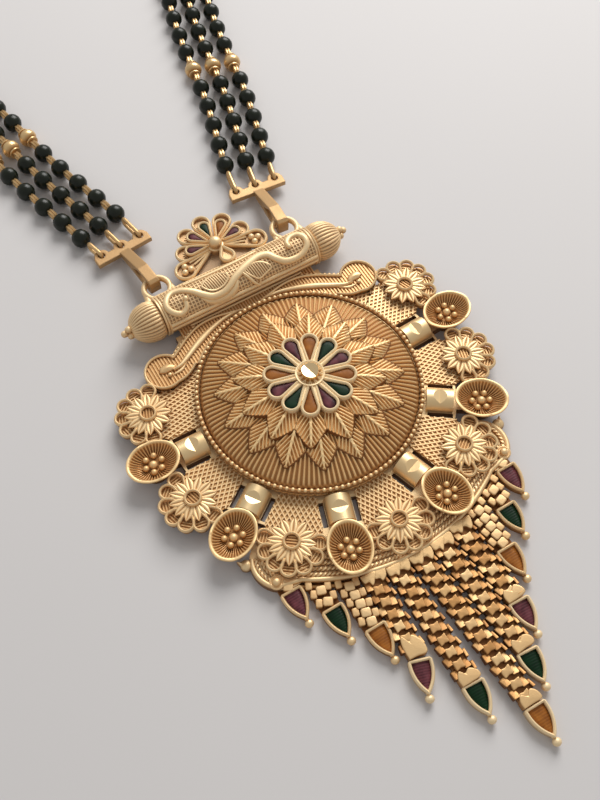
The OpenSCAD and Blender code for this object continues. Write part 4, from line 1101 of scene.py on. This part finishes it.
def makeFringe(side, s):
    # Three cast columns with their drop frames, and the wire where they meet the skirt
    rows = [row for row in columns if row[0] * side > 2]
    parts = [castPads(row, s) for row in rows] + [placeDrop(makeDropFrame(dropFrame), row) for row in rows]
    start = -71 if side > 0 else -129
    wire = arcPath(s["wireRadius"], start, start + s["wireReach"], 20, 0.6)
    return merged(*parts, wires(wire, s["wire"], 8, shade=(0.4, 1.0)))


def plateLink(halfX, halfY, low):
    # Flat plate with sides in painted shade whose top tips down to its upper end: z - tip * y / halfY over
    # the sides
    part = pad(cutCorners(halfX, halfY, 0.2), weave["foot"], weave["plateTop"], 0.1, 0.03, shade=(0.0, 0.9))
    x, y, z = part["points"].T
    part["points"] = xyz(x, y, z - weave["tip"] * y / halfY * (z > 0.9))
    part["low"] = np.clip(part["low"] + low, 0, 1)
    return part


def saddleLink(halfX, halfY, low):
    # Plate drawn in at its waist: y * (1 - waist * (1 - |x|)^1.5)
    t = np.linspace(-1, 1, 7)[:-1]
    one = np.ones(6)
    x = np.concatenate([one, -t, -one, t])
    y = np.concatenate([t, one, -t, -one])
    outline = np.stack([halfX * x, halfY * y * (1 - weave["waist"] * (1 - np.abs(x)) ** 1.5)], 1)
    return pad(outline, weave["foot"], weave["saddleTop"], 0.1, 0.02, shade=(max(low, 0), 0.85))


def makeChain(row, s):
    # Columns of links over a core in painted shade, each shifted along the chain and a little turned
    column, share, lean = row[:3]
    length = share * fringe["length"]
    core = box(-s["coreHalf"], s["coreHalf"], -length, 0.05)
    parts = [pad(core, 0.0, s["coreTop"], 0.1, shade=(0.88, 0.95))]
    wide = 1.0 if column < 0 else 1.1
    for place, shift, halfX, halfY, low in s["columns"]:
        for j in range(int((length - 1.2) / s["pitch"] - shift + 0.55)):
            tone = low + chance.uniform(-0.15, 0.42)
            link = saddleLink(halfX * wide, halfY, tone) if low < 0.2 else plateLink(halfX, halfY, tone)
            spot = (place, -s["first"] - (j + shift) * s["pitch"], chance.uniform(-0.1, 0.08))
            parts.append(copies(link, [spot], chance.uniform(-s["swing"], s["swing"])))
    return copies(merged(*parts), [chainStart(column)], lean)


def sheet(corners, top):
    # Flat pad over a polygon whose corners are moved a little and then rounded off
    corners = np.array(corners) + chance.uniform(-0.1, 0.1, (len(corners), 2))
    return pad(smoothRing(corners, 5 * len(corners) + 1), 0.2, top, 0.1, 0.03, shade=(0.05, 0.6))


# Sheets of solder: corners of the two at a chain's top. The one at its end has place across, place along and
# the share of its length that is added to it
solder = dict(
    left=[(-1.7, 0.25), (-1.55, -0.8), (-0.9, -0.95), (-0.6, -1.4), (0.0, -0.9), (0.4, 0.2)],
    right=[(0.0, 0.25), (-0.1, -0.7), (0.5, -0.95), (0.9, -1.5), (1.5, -1.0), (1.7, 0.15)],
    end=[(-1.3, -0.1, 0), (0, -0.15, 0), (1.35, -0.1, 0), (1.4, 0, 0.6), (0.6, 0, 1.1), (-0.2, 0, 0.8),
         (-0.9, 0, 1.2), (-1.35, 0, 0.7)],
    leftTop=1.66, rightTop=1.58, endTop=1.7, longColumn=-2, longReach=2.4, reach=1.35)


def makeSolder(s):
    # Uneven sheets over the top of each woven chain, and one where it meets its drop
    parts = []
    for row in columns[3:8]:
        column, share, lean = row[:3]
        end = -share * fringe["length"]
        reach = s["longReach"] if column == s["longColumn"] else s["reach"]
        top = [sheet(s["left"], s["leftTop"]), sheet(s["right"], s["rightTop"])]
        low = sheet([(x, end + y + more * reach) for x, y, more in s["end"]], s["endTop"])
        parts.append(copies(merged(*top, low), [chainStart(column)], lean))
    return merged(*parts)


for side, name in ((-1, "left"), (1, "right")):
    makePiece(f"castFringe.{name}", makeFringe(side, castColumn), gold["satin"], "gold_satin",
              f"fringe_{name}")
for k in range(5):
    row = columns[3 + k]
    chain, rim = makeChain(row, weave), placeDrop(makeDropFrame(dropFrame), row)
    makePiece(f"wovenChain{k + 1}", chain, gold["chain"], "gold_satin", f"woven_chain_{k + 1}")
    makePiece(f"dropRim{k + 1}", rim, gold["rim"], "gold_polished", f"drop_{k + 1}")
makePiece("solderPools", makeSolder(solder), gold["chain"], "gold_satin")
print("fringe made")

# Neck loop

loop = dict(beadWidth=3.0, beadRadius=1.48, pitch=4.5, rowStep=3.5, straight=180.0, spread=14.5, wave=0.5,
            waveLength=48.0, endRoom=1.6, backX=11.5, wireRadius=0.22, goldEvery=30, goldFirst=5, barTurn=5,
            barReach=10.4, eyeStep=3.4, eyeOut=0.7, endWire=0.34, endBow=0.72)
# Gold ball with flared caps: radius, place along the row, low
goldHalf = np.array([(0.55, -1.45, 0.6), (1.0, -1.35, 0.1), (1.02, -1.15, 0), (0.8, -1.0, 0.9),
                     (1.15, -0.8, 0.3), (1.43, -0.4, 0), (1.48, 0, 0)])
goldStations = np.concatenate([goldHalf, goldHalf[-2::-1] * [1, -1, 1]])
barTurn, spreadAngle = math.radians(loop["barTurn"]), math.radians(loop["spread"])
frontX = bar["ringX"] + loop["barReach"] * math.sin(barTurn)
frontY = bar["ringY"] + loop["barReach"] * math.cos(barTurn)
rowX, rowY = frontX + 0.95, frontY + 4.75
arcRadius = (rowX + loop["straight"] * math.sin(spreadAngle) - loop["backX"]) / math.cos(spreadAngle)
arcX = rowX + loop["straight"] * math.sin(spreadAngle) - arcRadius * math.cos(spreadAngle)
arcY = rowY + loop["straight"] * math.cos(spreadAngle) + arcRadius * math.sin(spreadAngle)
rowLength = loop["straight"] + arcRadius * (math.pi / 2 + spreadAngle)


def rowPoint(s, shift):
    # The source's route: straight, then one arc, plus the shift and a sine wave along the normal
    s = np.asarray(s, float)
    h = np.where(s < loop["straight"], spreadAngle, spreadAngle - (s - loop["straight"]) / arcRadius)
    fade = np.minimum(1, np.minimum(s / 20, (rowLength - s) / 20))
    e = shift + loop["wave"] * np.sin(2 * np.pi * s / loop["waveLength"]) * fade
    x = np.where(s < loop["straight"], rowX + s * math.sin(spreadAngle), arcX + arcRadius * np.cos(h))
    y = np.where(s < loop["straight"], rowY + s * math.cos(spreadAngle), arcY - arcRadius * np.sin(h))
    return xyz(x + e * np.cos(h), y - e * np.sin(h), loop["beadWidth"] / 2), h


def makeStrand(shift):
    # Beads along the route; between them two wire loops, and now and then a gold ball with flared caps
    room = rowLength - 2 * loop["endRoom"]
    count = int(room / loop["pitch"]) + 1
    s = loop["endRoom"] + np.arange(count) * room / (count - 1)
    place, h = rowPoint(s, shift)
    turn = -np.degrees(h)
    golden = np.arange(count) % loop["goldEvery"] == loop["goldFirst"]
    bead = balls([(0, 0, 0)], loop["beadRadius"], 16, 10, shade=(0.0, 0.2))
    black = copies(bead, place[~golden], turn[~golden])
    goldBall = bent(lathe(goldStations, 16), lambda p: p[:, [0, 2, 1]])
    t = 2 * np.pi * np.arange(12) / 12
    turns = [xyz(x, 0.98 * np.cos(t), 0.62 * np.sin(t)) for x in (-0.2, 0.2)]
    link = wires(turns, loop["wireRadius"], 5, closed=True, up=(1, 0, 0), shade=(0.0, 0.3))
    middle, h = rowPoint((s[1:] + s[:-1]) / 2, shift)
    return black, merged(copies(goldBall, place[golden], turn[golden]), copies(link, middle, -np.degrees(h)))


def addStrands():
    for k in range(3):
        black, links = makeStrand((k - 1) * loop["rowStep"])
        for side, turn in (("right", lambda p: p), ("left", mirrored)):
            makePiece(f"beads.{side}.{k + 1}", turn(black), blackBead, "bead_black", f"strand_{side}_{k + 1}")
            makePiece(f"beadLinks.{side}.{k + 1}", turn(links), gold["wire"], "gold_polished")


def makeEndLinks():
    # Three upright links from the eyelets to the strands: half circle, straight, half circle, straight
    wire, bow, out = loop["endWire"], loop["endBow"], loop["eyeOut"]
    parts = []
    for k in (-1, 0, 1):
        step = k * loop["eyeStep"]
        eye = np.array([frontX + out * math.sin(barTurn) + step * math.cos(barTurn),
                        frontY + out * math.cos(barTurn) - step * math.sin(barTurn), loop["beadWidth"] / 2])
        far = rowPoint(0.0, k * loop["rowStep"])[0]
        way = (far - eye) / np.linalg.norm(far - eye)
        long = np.linalg.norm(far - eye) - wire - 0.05 - 2 * bow
        q = np.radians(np.linspace(0, 180, 13))
        along = bow + np.concatenate([-bow * np.sin(q), long + bow * np.sin(q)])
        height = np.concatenate([bow * np.cos(q), -bow * np.cos(q)])
        path = eye + along[:, None] * way + height[:, None] * np.array([0, 0, 1])
        parts.append(wires(path, wire, 8, closed=True, up=(way[1], -way[0], 0), shade=(0.0, 0.3)))
    return merged(*parts)


addStrands()
endLinks = makeEndLinks()
makePiece("endLinks.right", endLinks, gold["wire"], "gold_polished", "end_links_right")
makePiece("endLinks.left", mirrored(endLinks), gold["wire"], "gold_polished", "end_links_left")
print("strands made")

# Carried-over castings

for name, piece in nodes.items():
    plain = "hammered" if "bar" in name else "plate" if name == "plate" else "satin"
    piece.data.materials.clear()
    piece.data.materials.append(gold["polished" if "links" in name or name == "clasp_hook" else plain])

# Floor, lights and camera

# Lamp: place along the picture's right, up and back, and size, both in metres; watts; colour
studio = dict(
    floorHalf=3.0, worldStrength=0.43, worldColour=(1.0, 0.985, 0.96, 1),
    lamps=dict(window=((0.112, 0.529, 0.099), 0.35, 3.05, (1.0, 0.985, 0.96)),
               fill=((-0.7, -0.1, 0.55), 0.6, 0.1, (0.95, 0.97, 1.0))))
view = dict(azimuth=-30.86, elevation=61.66, roll=0.1795, distance=136.26, shiftX=-1.3585, shiftY=-0.4804,
            lens=42.44, sensor=36.0, clipStart=0.01, clipEnd=20.0)


def viewAxes(v):
    # back = (sin az cos el, -cos az cos el, sin el); right and up are then rolled about it
    az, el = math.radians(v["azimuth"]), math.radians(v["elevation"])
    back = np.array([math.sin(az) * math.cos(el), -math.cos(az) * math.cos(el), math.sin(el)])
    right = np.cross((0, 0, 1), back)
    right /= np.linalg.norm(right)
    up = np.cross(back, right)
    roll = math.radians(v["roll"])
    c, s = math.cos(roll), math.sin(roll)
    return c * right + s * up, c * up - s * right, back


def addItem(name, data):
    item = bpy.data.objects.new(name, data)
    bpy.context.scene.collection.objects.link(item)
    return item


def addFloor(s):
    size = s["floorHalf"]
    mesh = bpy.data.meshes.new("tableTop")
    mesh.from_pydata([(x, y, 0) for x, y in box(-size, size, -size, size)], [], [(0, 1, 2, 3)])
    mesh.materials.append(makeCloudy(
        "table", 9.0, 3.0, (0.60, 0.582, 0.582, 1), (0.64, 0.622, 0.622, 1), (0.7, 0.7), 0.5))
    addItem("tableTop", mesh)


def addStudio(s, v):
    axes = np.array(viewAxes(v))
    world = bpy.data.worlds.new("studio")
    bpy.context.scene.world = world
    world.use_nodes = True
    fillInputs(world.node_tree, world.node_tree.nodes["Background"], {
        "Color": s["worldColour"], "Strength": s["worldStrength"]})
    for name, (place, size, watts, colour) in s["lamps"].items():
        lamp = bpy.data.lights.new(name, "AREA")
        lamp.energy, lamp.size, lamp.color = watts, size, colour
        item = addItem(name, lamp)
        item.location = place @ axes
        item.rotation_euler = Vector(item.location).to_track_quat("Z", "Y").to_euler()
    lens = bpy.data.cameras.new("photoView")
    lens.lens, lens.sensor_width, lens.sensor_fit = v["lens"], v["sensor"], "AUTO"
    lens.clip_start, lens.clip_end = v["clipStart"], v["clipEnd"]
    camera = addItem("photoView", lens)
    camera.matrix_world = Matrix([[*row, 0] for row in axes.T] + [[0, 0, 0, 1]])
    camera.location = (v["shiftX"], v["shiftY"], v["distance"]) @ axes * 0.001
    bpy.context.scene.camera = camera
    bpy.context.scene.view_settings.view_transform = "Standard"


addFloor(studio)
addStudio(studio, view)
print("studio ready; triangles", sum(counts.values()), "most", max(counts.items(), key=lambda item: item[1]))
